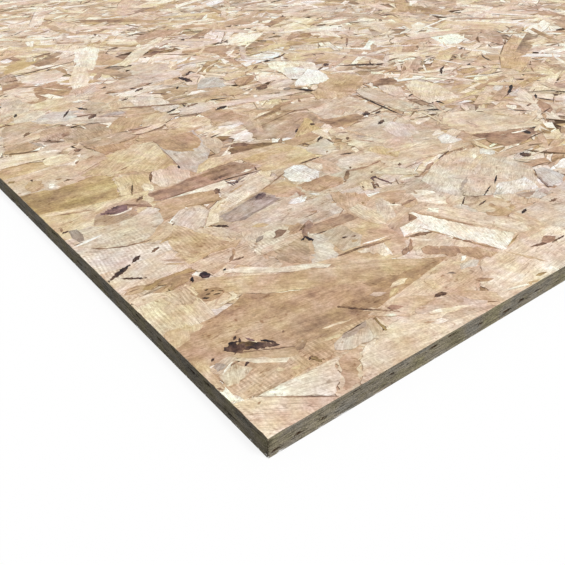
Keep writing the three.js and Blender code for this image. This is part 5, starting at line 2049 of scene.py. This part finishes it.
    @staticmethod
    def joined(group: list[dict[str, Any]]) -> bpy.types.Mesh:
        """Joins the slabs of one strip.

        Args:
            group: The slabs.

        Returns:
            Their mesh, in its place on the sheet.
        """
        low, high = CAD_BOX
        corner = np.array([low.x, low.y, high.z])
        sizes = [len(slab["points"]) for slab in group]
        points = np.vstack([slab["points"] for slab in group]) * MM + corner
        faces = [
            tuple(int(start) + i for i in face)
            for start, slab in zip(np.cumsum([0, *sizes[:-1]]), group)
            for face in slab["faces"]
        ]
        mesh = bpy.data.meshes.new("placed_strands")
        mesh.from_pydata(points.tolist(), [], faces)
        store_values(mesh, "grain", np.vstack([slab["grain"] for slab in group]))
        for name in ("tone", "hue", "blush", "chance", "ribs", "soft"):
            store_values(mesh, name, np.repeat([slab[name] for slab in group], sizes))
        return mesh


class StrandScatter:
    """The geometry nodes that lay strands over a bed, press them level and give them their wood."""

    NAME = "LayStrands"
    INPUTS = (
        ("Bed", "NodeSocketGeometry"),
        ("Strands", "NodeSocketCollection"),
        ("Wood", "NodeSocketMaterial"),
        ("Density", "NodeSocketFloat", 100.0),
        ("Spacing", "NodeSocketFloat", 0.0),
        ("Least Depth", "NodeSocketFloat", 0.0),
        ("Most Depth", "NodeSocketFloat", 0.001),
        ("Turn", "NodeSocketFloat", 1.0),
        ("Tilt", "NodeSocketFloat", 0.0),
        ("Stray", "NodeSocketFloat", 0.1),
        ("Most Hue", "NodeSocketFloat", 1.0),
        ("Least Tone", "NodeSocketFloat", 0.0),
        ("Most Tone", "NodeSocketFloat", 1.0),
        ("Press", "NodeSocketFloat", 0.12 * MM),
        ("Clear Corner", "NodeSocketVector", (0.0, 0.0, 0.0)),
        ("Clear Reach", "NodeSocketFloat", 0.8),
        ("Clear Fade", "NodeSocketFloat", 0.1),
        ("Clear Sink", "NodeSocketFloat", 0.0),
        ("Face Height", "NodeSocketFloat", 0.0),
        ("Facing", "NodeSocketFloat", 1.0),
        ("Seed", "NodeSocketInt", 0),
    )
    SEED_STEP = 1000.0

    def __init__(self) -> None:
        """Builds the tree once, for every kind of strand and both faces."""
        outputs = [("Mat", "NodeSocketGeometry")]
        graph, takes, gives = open_group(self.NAME, "GeometryNodeTree", self.INPUTS, outputs)
        self.graph, self.takes = graph, takes
        self.draws = 0
        spread = graph.add(
            "GeometryNodeDistributePointsOnFaces",
            {"Mesh": takes["Bed"], "Distance Min": takes["Spacing"], "Density Max": takes["Density"],
             "Seed": takes["Seed"]},
            distribute_method="POISSON",
        )
        depth = self.draw(takes["Least Depth"], takes["Most Depth"])
        sunk = graph.add(
            "GeometryNodeSetPosition",
            {"Geometry": spread.outputs["Points"], "Offset": graph.combine(0.0, 0.0, self.sink(depth))},
        )
        strands = graph.add(
            "GeometryNodeCollectionInfo",
            {"Collection": takes["Strands"], "Separate Children": True, "Reset Children": True},
        )
        laid = graph.add(
            "GeometryNodeInstanceOnPoints",
            {"Points": sunk.outputs[0], "Instance": strands.outputs[0], "Pick Instance": True,
             "Rotation": self.turn(), "Scale": self.stretch()},
        )
        carried = self.store(laid.outputs[0], "tone", self.centred(takes["Least Tone"], takes["Most Tone"]))
        least = graph.math("MULTIPLY", takes["Most Hue"], -1.1)
        carried = self.store(carried, "hue", self.centred(least, takes["Most Hue"]))
        carried = self.store(carried, "chance", self.draw(0.0, 1.0))
        carried = self.store(carried, "ribs", self.draw(-0.2, 1.2))
        real = graph.add("GeometryNodeRealizeInstances", {"Geometry": carried})
        pressed = self.press(real.outputs[0])
        done = graph.add("GeometryNodeSetMaterial", {"Geometry": pressed, "Material": takes["Wood"]})
        graph.feed(gives["Mat"], done.outputs[0])
        self.tree = graph.tree

    def draw(self, low: Any, high: Any) -> Socket:
        """Draws a number for each strand, from a chance of its own.

        Args:
            low: The least that it may be.
            high: The most that it may be.

        Returns:
            The number's socket.
        """
        self.draws += 1
        seed = self.graph.math("ADD", self.takes["Seed"], self.SEED_STEP * self.draws)
        feeds = {2: low, 3: high, "Seed": seed}
        return self.graph.add("FunctionNodeRandomValue", feeds, data_type="FLOAT").outputs[1]

    def centred(self, low: Any, high: Any) -> Socket:
        """Draws a number for each strand that is more often near the middle of its range.

        Args:
            low: The least that it may be.
            high: The most that it may be.

        Returns:
            The number's socket.
        """
        both = self.graph.math("ADD", self.draw(low, high), self.draw(low, high))
        return self.graph.math("MULTIPLY", both, 0.5)

    def turn(self) -> Socket:
        """How each strand is turned: mostly along the sheet, some any way, and a little tilted."""
        graph = self.graph
        leaning = graph.math("ADD", self.draw(-0.5, 0.5), self.draw(-0.5, 0.5))
        turned = graph.math("MULTIPLY", leaning, self.takes["Turn"])
        anyway = self.draw(-math.pi / 2, math.pi / 2)
        stray = graph.math("LESS_THAN", self.draw(0.0, 1.0), self.takes["Stray"])
        half_turns = graph.math("GREATER_THAN", self.draw(0.0, 1.0), 0.5)
        around = graph.gathered(graph.between(stray, turned, anyway), [(half_turns, math.pi)])
        pitch = graph.math("MULTIPLY", self.draw(-1.0, 1.0), self.takes["Tilt"])
        roll = graph.math("MULTIPLY", self.draw(-1.5, 1.5), self.takes["Tilt"])
        return graph.combine(roll, pitch, around)

    def sink(self, depth: Socket) -> Socket:
        """How far down each strand goes, which is more where placed strands are to lie over it.

        Args:
            depth: The strand's own depth.

        Returns:
            The height, which is negative.
        """
        graph, takes = self.graph, self.takes
        place = graph.add("GeometryNodeInputPosition").outputs[0]
        x, y, _ = graph.separate(graph.vector("SUBTRACT", place, takes["Clear Corner"]))
        away = graph.math("SUBTRACT", graph.math("MAXIMUM", x, y), takes["Clear Reach"])
        shown = graph.math("DIVIDE", away, takes["Clear Fade"])
        cleared = graph.math("MULTIPLY", graph.remap(shown, 0.0, 1.0, 1.0, 0.0), takes["Clear Sink"])
        return graph.math("MULTIPLY", graph.math("ADD", depth, cleared), -1.0)

    def stretch(self) -> Socket:
        """How each strand differs in size from the shape that it was cut to."""
        return self.graph.combine(self.draw(0.8, 1.25), self.draw(0.8, 1.25), 1.0)

    def store(self, geometry: Socket, name: str, value: Socket) -> Socket:
        """Stores a number with each strand.

        Args:
            geometry: The strands.
            name: The number's name.
            value: The number.

        Returns:
            The strands that carry it.
        """
        feeds = {"Geometry": geometry, "Name": name, "Value": value}
        kind = "GeometryNodeStoreNamedAttribute"
        return self.graph.add(kind, feeds, data_type="FLOAT", domain="INSTANCE").outputs[0]

    def press(self, geometry: Socket) -> Socket:
        """Presses the mat: no strand stands above the face, and each stays over those below it.

        Args:
            geometry: The realized strands, with the face at zero height.

        Returns:
            The pressed strands at the height of their own face.
        """
        graph, facing, give = self.graph, self.takes["Facing"], self.takes["Press"]
        x, y, z = graph.separate(graph.add("GeometryNodeInputPosition").outputs[0])
        grown = graph.math("EXPONENT", graph.math("DIVIDE", graph.math("MULTIPLY", z, -1.0), give))
        sunk = graph.math("LOGARITHM", graph.math("ADD", grown, 1.0), math.e)
        sunk = graph.math("MULTIPLY", sunk, give)
        level = graph.math("MULTIPLY", sunk, graph.math("MULTIPLY", facing, -1.0))
        height = graph.math("ADD", level, self.takes["Face Height"])
        place = graph.combine(x, graph.math("MULTIPLY", y, facing), height)
        return graph.add("GeometryNodeSetPosition", {"Geometry": geometry, "Position": place}).outputs[0]

    def lay(
        self, bed: bpy.types.Mesh, strands: bpy.types.Collection, sizes: dict[str, Any]
    ) -> bpy.types.Mesh:
        """Lays one kind of strand over one bed.

        Args:
            bed: The flat mesh that the strands are spread on, at zero height.
            strands: The shapes to lay.
            sizes: A value for each further input of the tree, by its name.

        Returns:
            The plain mesh.
        """
        holder = link_object("laying", bed)
        modifier = holder.modifiers.new(self.NAME, "NODES")
        modifier.node_group = self.tree
        values = {"Strands": strands, **sizes}
        for item in self.tree.interface.items_tree:
            if item.in_out == "INPUT" and item.name in values:
                modifier[item.identifier] = values[item.name]
        graph = bpy.context.evaluated_depsgraph_get()
        made = bpy.data.meshes.new_from_object(holder.evaluated_get(graph), depsgraph=graph)
        bpy.data.objects.remove(holder)
        return made


# ---------------------------------------------------------------------------------------------
# The sheet
# ---------------------------------------------------------------------------------------------


class Face(Enum):
    """The two faces of the sheet."""

    TOP = "top"
    UNDERSIDE = "underside"


@dataclass(frozen=True)
class BakeMap:
    """A flat UV map of a long piece, folded into rows that fill a square. Lengths are in millimetres.

    Strands that cross from one row into the next have room at its ends, the spill.
    """

    run: tuple[float, float, float]
    rise: tuple[float, float, float]
    outward: tuple[float, float, float]
    rows: int
    spill: float = 80.0
    tuck: float = 0.8
    gap: float = 0.004
    name: str = "OFBake"

    def draw(self, mesh: bpy.types.Mesh) -> None:
        """Draws the map. A steep face has its foot tucked under the strand, so it has some width.

        Args:
            mesh: The mesh, which gains the map. Its outermost faces come last, and cover the rest.
        """

        def numbers(rows: Iterable, name: str, width: int, kind: type) -> np.ndarray:
            """Reads one value of every row."""
            values = np.empty(len(rows) * width, kind)
            rows.foreach_get(name, values)
            return values.reshape(-1, width)

        axes = np.array([self.run, self.rise, self.outward]).T
        first = numbers(mesh.polygons, "loop_start", 1, np.int32)[:, 0]
        count = numbers(mesh.polygons, "loop_total", 1, np.int32)[:, 0]
        owner = np.repeat(np.arange(len(first)), count)
        corners = numbers(mesh.loops, "vertex_index", 1, np.int32)[:, 0]
        spots = numbers(mesh.vertices, "co", 3, np.float32)[corners] @ axes
        normals = numbers(mesh.polygons, "normal", 3, np.float32) @ axes
        top = np.maximum.reduceat(spots[:, 2], first)
        fall = np.maximum(top - np.minimum.reduceat(spots[:, 2], first), 1e-9)
        steep = np.abs(normals[:, 2]) < 0.7
        aside = normals[:, :2] / np.maximum(np.hypot(*normals[:, :2].T), 1e-9)[:, None]
        sunk = (steep / fall)[owner] * (top[owner] - spots[:, 2]) * self.tuck * MM
        places = spots[:, :2] - aside[owner] * sunk[:, None]
        low, high = places.min(0), places.max(0)
        length = (high[0] - low[0]) / self.rows
        middle = np.add.reduceat(spots[:, 0], first) / count
        row = np.clip((middle - low[0]) // length, 0, self.rows - 1)[owner]
        spill = self.spill * MM
        across = (places[:, 0] - low[0] - row * length + spill) / (length + 2 * spill)
        up = self.gap + (1 - 2 * self.gap) * (places[:, 1] - low[1]) / (high[1] - low[1])
        spots = np.column_stack([across, (row + up) / self.rows]).astype(np.float32)
        mesh.uv_layers.new(name=self.name).data.foreach_set("uv", spots.ravel())


@dataclass
class StrandFace:
    """The strands of one face, in strips that run along the sheet.

    Shares are of each kind's usual number. The overhang is in millimetres.
    """

    face: Face
    wood: bpy.types.Material
    seed: int
    strips: int = 8
    share: float = 1.0
    bed_share: float = 1.0
    overhang: float = 70.0
    bake_rows: int = 3
    placed: tuple[PlacedStrand, ...] = ()
    kinds: tuple[StrandKind, ...] = ALL_KINDS
    pieces: list[bpy.types.Object] = field(default_factory=list)

    STRIP_SEEDS = 37
    KIND_SEEDS = 400

    @property
    def facing(self) -> float:
        """One for the face that looks up, and minus one for the other."""
        return 1.0 if self.face is Face.TOP else -1.0

    def build(self, scatter: StrandScatter, shapes: dict[str, bpy.types.Collection]) -> None:
        """Lays every strip of the face.

        Args:
            scatter: The tree that lays strands.
            shapes: The shapes of each kind, by its name.
        """
        low, high = CAD_BOX
        borders = np.linspace(low.y, high.y, self.strips + 1)
        placed = PlacedShaper(self.seed).strips(self.placed, borders)
        for index, (near, far) in enumerate(zip(borders, borders[1:])):
            bed = self.flat([(low.x, near, high.x, far)])
            rim = self.flat(self.overhangs(near, far))
            layers = [placed[index]] if placed[index] else []
            for order, (kind, ground) in enumerate([*((kind, bed) for kind in self.kinds), (BED, rim)]):
                seed = self.seed + self.STRIP_SEEDS * index + self.KIND_SEEDS * order
                layers.append(scatter.lay(ground, shapes[kind.name], self.sizes(kind, seed)))
            for ground in (bed, rim):
                bpy.data.meshes.remove(ground)
            self.pieces.append(self.strip(f"{self.face.value}_strands_{index + 1}", layers))

    def sizes(self, kind: StrandKind, seed: int) -> dict[str, Any]:
        """Settles how one kind of strand is laid.

        Args:
            kind: The kind.
            seed: What its chances start from.

        Returns:
            A value for each input of the tree, by its name.
        """
        low, high = CAD_BOX
        sink, reach, fade = kind.yields
        return {
            "Wood": self.wood,
            "Density": kind.per_square_metre * (self.bed_share if kind is BED else self.share),
            "Spacing": kind.spacing * MM,
            "Least Depth": kind.depth[0] * MM,
            "Most Depth": kind.depth[1] * MM,
            "Turn": math.radians(kind.turn),
            "Tilt": math.radians(kind.tilt),
            "Stray": kind.stray,
            "Most Hue": kind.hue,
            "Least Tone": kind.tone[0],
            "Most Tone": kind.tone[1],
            "Clear Corner": (low.x, low.y, 0.0),
            "Clear Reach": reach * MM,
            "Clear Fade": fade * MM,
            "Clear Sink": sink * MM if self.placed else 0.0,
            "Face Height": high.z if self.face is Face.TOP else low.z,
            "Facing": self.facing,
            "Seed": seed,
        }

    @staticmethod
    def flat(areas: list[tuple[float, float, float, float]]) -> bpy.types.Mesh:
        """Makes a flat mesh to spread strands on.

        Args:
            areas: The least x, least y, most x and most y of each rectangle in it.

        Returns:
            The mesh, at zero height.
        """
        bed = bpy.data.meshes.new("bed")
        points = [
            corner for x0, y0, x1, y1 in areas
            for corner in ((x0, y0, 0.0), (x1, y0, 0.0), (x1, y1, 0.0), (x0, y1, 0.0))
        ]
        bed.from_pydata(points, [], np.arange(len(points)).reshape(-1, 4).tolist())
        return bed

    def overhangs(self, near: float, far: float) -> list[tuple[float, float, float, float]]:
        """Finds the ground just outside the sheet, whose strands hang over its edges and are sawn off.

        Args:
            near: Where the strip starts across the sheet.
            far: Where it ends.

        Returns:
            The rectangles beside the strip.
        """
        low, high = CAD_BOX
        out = self.overhang * MM
        areas = [(low.x - out, near, low.x, far), (high.x, near, high.x + out, far)]
        if near <= low.y:
            areas.append((low.x, low.y - out, high.x, low.y))
        if far >= high.y:
            areas.append((low.x, high.y, high.x, high.y + out))
        return areas

    @staticmethod
    def saw(mat: bmesh.types.BMesh, point: Vector, normal: Vector) -> None:
        """Saws a mat off at a plane and closes the strands that it cuts, in the mat's own order.

        Args:
            mat: The mat.
            point: A point of the plane.
            normal: The side of the plane that is sawn off.
        """
        crossed = [face for face in mat.faces if any((v.co - point).dot(normal) > 0 for v in face.verts)]
        if not crossed:
            return
        touched = dict.fromkeys(part for face in crossed for part in (*face.edges, *face.verts))
        cut = bmesh.ops.bisect_plane(
            mat, geom=[*crossed, *touched], plane_co=point, plane_no=normal, clear_outer=True, dist=1e-7
        )
        rims = [e for e in cut["geom_cut"] if isinstance(e, bmesh.types.BMEdge) and e.is_boundary]
        bmesh.ops.holes_fill(mat, edges=rims, sides=0)

    def strip(self, name: str, layers: list[bpy.types.Mesh]) -> bpy.types.Object:
        """Joins the layers of one strip and saws them off at the sheet's edges.

        Args:
            name: The piece's name.
            layers: The laid meshes, which are used up.

        Returns:
            The piece.
        """
        joined = bmesh.new()
        for layer in layers:
            joined.from_mesh(layer)
            bpy.data.meshes.remove(layer)
        inset = Vector((1, 1, 0)) * SAW_INSET * MM
        for point, outward in ((CAD_BOX[0] + inset, -1), (CAD_BOX[1] - inset, 1)):
            self.saw(joined, point, Vector((outward, 0, 0)))
            self.saw(joined, point, Vector((0, outward, 0)))
        if self.face is Face.UNDERSIDE:
            bmesh.ops.reverse_faces(joined, faces=joined.faces)
        joined.faces.sort(key=lambda face: face.calc_center_median().z * self.facing)
        mesh = bpy.data.meshes.new(name)
        joined.to_mesh(mesh)
        joined.free()
        mesh.materials.append(self.wood)
        BakeMap((1, 0, 0), (0, self.facing, 0), (0, 0, self.facing), rows=self.bake_rows).draw(mesh)
        return link_object(name, mesh)


@dataclass
class Core:
    """The body of the sheet under its strands, with the voids along its sawn edges.

    Recesses are in millimetres. The cut holds its wood's tone, chance and distance from a rim.
    """

    wood: bpy.types.Material
    face_recess: float = 1.3
    edge_recess: float = 0.4
    cut: tuple[float, float, float] = (0.3, 0.5, 0.3)

    def build(self) -> bpy.types.Object:
        """Copies the solid sheet and sinks its sides to make room for the strands.

        Returns:
            The piece.
        """
        mesh = frame["nodes"][NODE].data.copy()
        mesh.name = "sheet_core"
        shape = bmesh.new()
        shape.from_mesh(mesh)
        bmesh.ops.remove_doubles(shape, verts=shape.verts, dist=1e-6)
        low, high = CAD_BOX
        inset = Vector((self.edge_recess, self.edge_recess, self.face_recess)) * MM
        for vertex in shape.verts:
            for axis in range(3):
                least, most = low[axis] + inset[axis], high[axis] - inset[axis]
                vertex.co[axis] = min(max(vertex.co[axis], least), most)
        shape.to_mesh(mesh)
        shape.free()
        store_values(mesh, "cut", np.tile(self.cut, (len(mesh.vertices), 1)))
        mesh.materials.clear()
        mesh.materials.append(self.wood)
        return link_object("sheet_core", mesh)


class Side(Enum):
    """The four sawn sides, each with the direction that it runs in, seen from outside."""

    FRONT = (1, 0)
    RIGHT = (0, 1)
    BACK = (-1, 0)
    LEFT = (0, -1)


@dataclass
class SawnEdge:
    """The strands that the saw cut through along one side, laid open in rows. In millimetres.

    Near both faces, for the skin's share of the thickness, the strands run along the sheet, and
    between them they run across it. Each strand is six points round a middle one, over a keel. The
    six go from one tip under it to the other and back over it, each at a share of its length and at
    a rise, which is a share of half its height.
    """

    side: Side
    wood: bpy.types.Material
    seed: int
    rows: int = 26
    skin: float = 0.3
    waver: float = 0.12
    half_height: tuple[float, float] = (0.26, 0.56)
    along_strand: tuple[float, float] = (9, 50)
    across_strand: tuple[float, float] = (4, 24)
    spacing: tuple[float, float] = (0.72, 0.95)
    least: float = 1.5
    relief: float = 0.08
    keel: float = 0.5
    tone: tuple[float, float] = (0.5, 0.72)
    share_stray: float = 0.03
    fullness: tuple[float, float] = (0.75, 1.1)
    tip_stray: float = 0.4
    slope: float = 0.25

    ROUND = 6
    MIDDLE = 6
    KEEL = 7
    POINTS = 8
    SHARES = (0.0, 0.22, 0.78, 1.0, 0.76, 0.24)
    RISES = (0.0, -1.0, -1.0, 0.0, 1.0, 1.0)
    TIPS = [0, 3]
    LOWER = [0, 1, 2, 3]
    UPPER = [3, 4, 5, 0]

    def voids(self, run: Vector, normal: Vector) -> list[tuple[float, float, float, float]]:
        """Finds where the sheet's voids open in this side.

        Args:
            run: The direction that the side runs in.
            normal: The direction that it faces.

        Returns:
            For each opening its middle along the side and up it, and half its length and height.
        """
        shape = bmesh.new()
        shape.from_mesh(frame["nodes"][NODE].data)
        bmesh.ops.remove_doubles(shape, verts=shape.verts, dist=1e-6)
        low, high = CAD_BOX
        plane = max(normal.dot(low), normal.dot(high))

        def on_rim(vertex: bmesh.types.BMVert) -> bool:
            """Whether a point is on the mouth of a void of this side."""
            within = low.z + 1e-5 < vertex.co.z < high.z - 1e-5
            return within and abs(vertex.co.dot(normal) - plane) < 1e-6

        waiting = dict.fromkeys(vertex for vertex in shape.verts if on_rim(vertex))
        openings = []
        while waiting:
            mouth = [waiting.popitem()[0]]
            for vertex in mouth:
                for edge in vertex.link_edges:
                    other = edge.other_vert(vertex)
                    wall = any(abs(face.normal.dot(normal)) < 0.99 for face in edge.link_faces)
                    if other in waiting and wall:
                        del waiting[other]
                        mouth.append(other)
            along = [vertex.co.dot(run) / MM for vertex in mouth]
            up = [vertex.co.z / MM for vertex in mouth]
            openings.append((
                (max(along) + min(along)) / 2, (max(up) + min(up)) / 2,
                (max(along) - min(along)) / 2, (max(up) - min(up)) / 2,
            ))
        shape.free()
        return openings

    def spans(
        self, start: float, end: float, height: float, thick: float, voids: list[tuple]
    ) -> list[Point]:
        """Breaks a row's strand wherever a void opens in its way.

        Args:
            start: Where the strand starts along the side.
            end: Where it ends.
            height: Its middle's height.
            thick: Half its height.
            voids: The side's voids.

        Returns:
            The stretches that are left.
        """
        left = [(start, end)]
        for middle, level, half_length, half_height in voids:
            rise = max(abs(height - level) - thick * 0.5, 0.0) / half_height
            if rise >= 1.0 or middle + half_length < start or middle - half_length > end:
                continue
            reach = half_length * math.sqrt(1 - rise * rise)
            cuts = []
            for near, far in left:
                if near < middle - reach:
                    cuts.append((near, min(far, middle - reach)))
                if far > middle + reach:
                    cuts.append((max(near, middle + reach), far))
            left = cuts
        return [(near, far) for near, far in left if far - near > self.least]

    def row(
        self, share: float, size: Point, voids: list[tuple], chance: np.random.Generator
    ) -> Iterable[tuple[np.ndarray, np.ndarray]]:
        """Cuts the strands of one row.

        Args:
            share: The row's height, as a share of the sheet's thickness.
            size: The side's length and the sheet's thickness.
            voids: The side's voids.
            chance: Where the chances come from.

        Yields:
            Each strand's points and the numbers of its wood: tone, chance and distance from its rim.
        """
        length, thickness = size
        lengthwise = self.side in (Side.FRONT, Side.BACK)
        outer = min(share, 1 - share) < self.skin
        reach = self.along_strand if outer == lengthwise else self.across_strand
        place = -length / 2 - chance.uniform(0, reach[1])
        while place < length / 2:
            run = chance.uniform(*reach)
            height = share * thickness + chance.normal(0, self.waver)
            thick = chance.uniform(*self.half_height)
            start, end = max(place, -length / 2), min(place + run, length / 2)
            for near, far in self.spans(start, end, height, thick, voids):
                points = self.strand(near, far, height, thick, thickness, chance)
                cut = np.tile((chance.uniform(*self.tone), chance.random(), 0.0), (self.POINTS, 1))
                cut[self.MIDDLE, 2] = thick
                yield points, cut
            place += run * chance.uniform(*self.spacing)

    def build(self) -> bpy.types.Object:
        """Lays the rows of cut strands.

        Returns:
            The piece.
        """
        chance = np.random.default_rng(self.seed)
        low, high = CAD_BOX
        run = Vector((*self.side.value, 0.0))
        normal = run.cross(Vector((0, 0, 1)))
        length = abs(run.dot(high - low)) / MM
        thickness = (high.z - low.z) / MM
        plane = max(normal.dot(low), normal.dot(high)) / MM
        voids = self.voids(run, normal)
        axes = np.array([tuple(run), (0.0, 0.0, 1.0), tuple(normal)])
        strands: list[np.ndarray] = []
        cuts: list[np.ndarray] = []
        for row in range(self.rows):
            for strand, cut in self.row((row + 0.5) / self.rows, (length, thickness), voids, chance):
                strands.append(strand[:, :2] @ axes[:2] + (plane - strand[:, 2:]) * axes[2])
                cuts.append(cut)
        places = np.vstack(strands)
        pairs = [(i, (i + 1) % self.ROUND) for i in range(self.ROUND)]
        pattern = [(*pair, self.MIDDLE) for pair in pairs] + [(*pair[::-1], self.KEEL) for pair in pairs]
        starts = np.arange(len(strands)) * self.POINTS
        faces = (np.array(pattern) + starts[:, None, None]).reshape(-1, 3)
        faces = faces[np.argsort((places @ axes[2])[faces].mean(1), kind="stable")]
        mesh = bpy.data.meshes.new(f"{self.side.name.lower()}_edge")
        mesh.from_pydata((places * MM).tolist(), [], faces.tolist())
        store_values(mesh, "cut", np.vstack(cuts))
        mesh.materials.append(self.wood)
        rows = round(math.sqrt(length / thickness)) + 1
        BakeMap(*map(tuple, axes), rows=rows, spill=self.along_strand[1] / 2, tuck=0.2).draw(mesh)
        return link_object(mesh.name, mesh)

    def strand(
        self, near: float, far: float, height: float, thick: float, thickness: float,
        chance: np.random.Generator,
    ) -> np.ndarray:
        """Shapes one cut strand: a six-sided lens over a keel.

        Args:
            near: Where it starts along the side.
            far: Where it ends.
            height: Its middle's height.
            thick: Half its height.
            thickness: The sheet's thickness.
            chance: Where its chances come from.

        Returns:
            Rows of distance along the side, height and depth under the sawn plane.
        """
        shares = np.array(self.SHARES) + chance.normal(0, self.share_stray, self.ROUND)
        shares[self.TIPS] = 0.0, 1.0
        rises = np.array(self.RISES) * chance.uniform(*self.fullness, self.ROUND)
        rises[self.TIPS] = chance.uniform(-self.tip_stray, self.tip_stray, 2)
        slope = chance.normal(0, self.slope)
        along = near + (far - near) * shares
        up = np.clip(height + rises * thick + slope * (shares - 0.5), 0.0, thickness)
        row = thickness / self.rows
        if height < row:
            up[self.LOWER] = 0.0
        if height > thickness - row:
            up[self.UPPER] = thickness
        depth = chance.uniform(0, self.relief)
        outer = np.column_stack([along, up, np.full(self.ROUND, depth)])
        middle = ((near + far) / 2, float(np.clip(height, 0.02, thickness - 0.02)))
        return np.vstack([outer, (*middle, depth * 0.5), (*middle, depth + self.keel)])


# ---------------------------------------------------------------------------------------------
# Studio
# ---------------------------------------------------------------------------------------------


@dataclass(frozen=True)
class StudioCamera:
    """The camera, placed from the sheet's front left corner. Lengths are in millimetres."""

    sensor: float = 36.0
    lens: float = 42.99
    height: float = 264.53
    ahead: float = 247.34
    aside: float = 7.63
    bearing: float = 38.196
    tilt: float = 33.85

    def build(self) -> None:
        """Makes the camera and gives it to the scene."""
        low, high = CAD_BOX
        bearing = math.radians(self.bearing)
        forward = Vector((math.sin(bearing), math.cos(bearing), 0))
        right = Vector((math.cos(bearing), -math.sin(bearing), 0))
        corner = Vector((low.x, low.y, high.z))
        data = bpy.data.cameras.new("studio_camera")
        data.sensor_width = self.sensor
        data.lens = self.lens
        data.clip_start = 0.01
        data.clip_end = 100.0
        camera = link_object("studio_camera", data)
        camera.location = corner + (right * self.aside - forward * self.ahead) * MM
        camera.location.z += self.height * MM
        camera.rotation_euler = Euler((math.radians(90 - self.tilt), 0, -bearing))
        bpy.context.scene.camera = camera


@dataclass(frozen=True)
class StudioLight:
    """One soft key lamp from the front right, and an even sky."""

    key: float = 2.3
    key_elevation: float = 55.0
    key_azimuth: float = 22.0
    key_spread: float = 18.0
    place: tuple[float, float, float] = (0.5, -1.5, 2.5)
    sky: float = 0.4

    def build(self) -> None:
        """Makes the lamp and the world."""
        data = bpy.data.lights.new("key_lamp", "SUN")
        data.energy = self.key
        data.angle = math.radians(self.key_spread)
        lamp = link_object("key_lamp", data)
        pitch, bearing = math.radians(90 - self.key_elevation), math.radians(self.key_azimuth)
        lamp.rotation_euler = Euler((pitch, 0, bearing))
        lamp.location = self.place
        world = bpy.data.worlds.new("studio_sky")
        graph = open_tree(world)
        seen = background_rays(graph)
        even = graph.add("ShaderNodeBackground", {"Color": WHITE, "Strength": self.sky})
        white = graph.add("ShaderNodeBackground", {"Color": WHITE, "Strength": 1.0})
        mixed = graph.add("ShaderNodeMixShader", {0: seen, 1: even.outputs[0], 2: white.outputs[0]})
        graph.add("ShaderNodeOutputWorld", {"Surface": mixed.outputs[0]})
        bpy.context.scene.world = world


def background_rays(graph: Graph) -> Socket:
    """Tells the rays that show the background from those that light the sheet.

    Args:
        graph: The graph that the nodes go into.

    Returns:
        One where a camera, glossy or transmission ray looks, and zero elsewhere.
    """
    rays = graph.add("ShaderNodeLightPath").outputs
    shown = graph.math("MAXIMUM", rays["Is Camera Ray"], rays["Is Glossy Ray"])
    return graph.math("MAXIMUM", shown, rays["Is Transmission Ray"])


@dataclass(frozen=True)
class StudioFloor:
    """A plain pale floor, white where it is seen, that keeps the sheet's shadow."""

    reach: float = 30.0
    colour: Colour = WHITE
    bounce: Colour = srgb(92, 92, 92)
    glow: float = 0.86

    def build(self) -> None:
        """Makes the floor."""
        mesh = bpy.data.meshes.new("floor")
        r = self.reach
        mesh.from_pydata([(-r, -r, 0), (r, -r, 0), (r, r, 0), (-r, r, 0)], [], [(0, 1, 2, 3)])
        material = bpy.data.materials.new("studio_floor")
        graph = open_tree(material)
        seen = background_rays(graph)
        shade = graph.mix(seen, self.bounce, self.colour)
        matt = graph.add("ShaderNodeBsdfDiffuse", {"Color": shade})
        white = graph.add("ShaderNodeEmission", {"Color": WHITE, "Strength": 1.0})
        share = graph.math("MULTIPLY", seen, self.glow)
        mixed = graph.add("ShaderNodeMixShader", {0: share, 1: matt.outputs[0], 2: white.outputs[0]})
        graph.add("ShaderNodeOutputMaterial", {"Surface": mixed.outputs[0]})
        mesh.materials.append(material)
        floor = link_object("floor", mesh)
        floor.location.z = CAD_BOX[0].z


def main() -> None:
    """Builds the studio and every piece of the sheet."""
    logging.basicConfig(level=logging.INFO, format="%(message)s")
    bpy.context.scene.view_settings.view_transform = "Standard"
    StudioCamera().build()
    StudioLight().build()
    StudioFloor().build()

    groups = {"grain": StrandGrain().build(), "screen": PressScreen().build()}
    groups |= {palette.name: palette.build() for palette in (FACE_PALETTE, EDGE_PALETTE)}
    top_wood = StrandFinish("top_strand_wood", FACE_PALETTE).build(groups)
    under_wood = StrandFinish("underside_strand_wood", FACE_PALETTE, imprint=0.0).build(groups)
    sawn_wood = EdgeFinish("sawn_strand_wood", EDGE_PALETTE).build(groups)

    core = Core(sawn_wood).build()
    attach(core, BODY)
    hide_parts(NODE)
    LOG.info("sheet_core: %d faces", len(core.data.polygons))

    for index, side in enumerate(Side):
        edge = SawnEdge(side, sawn_wood, seed=700 + index).build()
        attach(edge, BODY)
        LOG.info("%s: %d faces", edge.name, len(edge.data.polygons))

    scatter = StrandScatter()
    shapes = {
        kind.name: StrandShaper(kind, seed).collection()
        for seed, kind in enumerate(ALL_KINDS, start=11)
    }
    faces = (
        StrandFace(Face.TOP, top_wood, seed=5, placed=CORNER_STRANDS),
        StrandFace(Face.UNDERSIDE, under_wood, seed=90_005, share=0.38),
    )
    for face in faces:
        face.build(scatter, shapes)
        for piece in face.pieces:
            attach(piece, BODY)
            LOG.info("%s: %d faces", piece.name, len(piece.data.polygons))
    for strands in shapes.values():
        for shape in list(strands.objects):
            bpy.data.objects.remove(shape)
        bpy.data.collections.remove(strands)


if __name__ == "__main__":
    main()
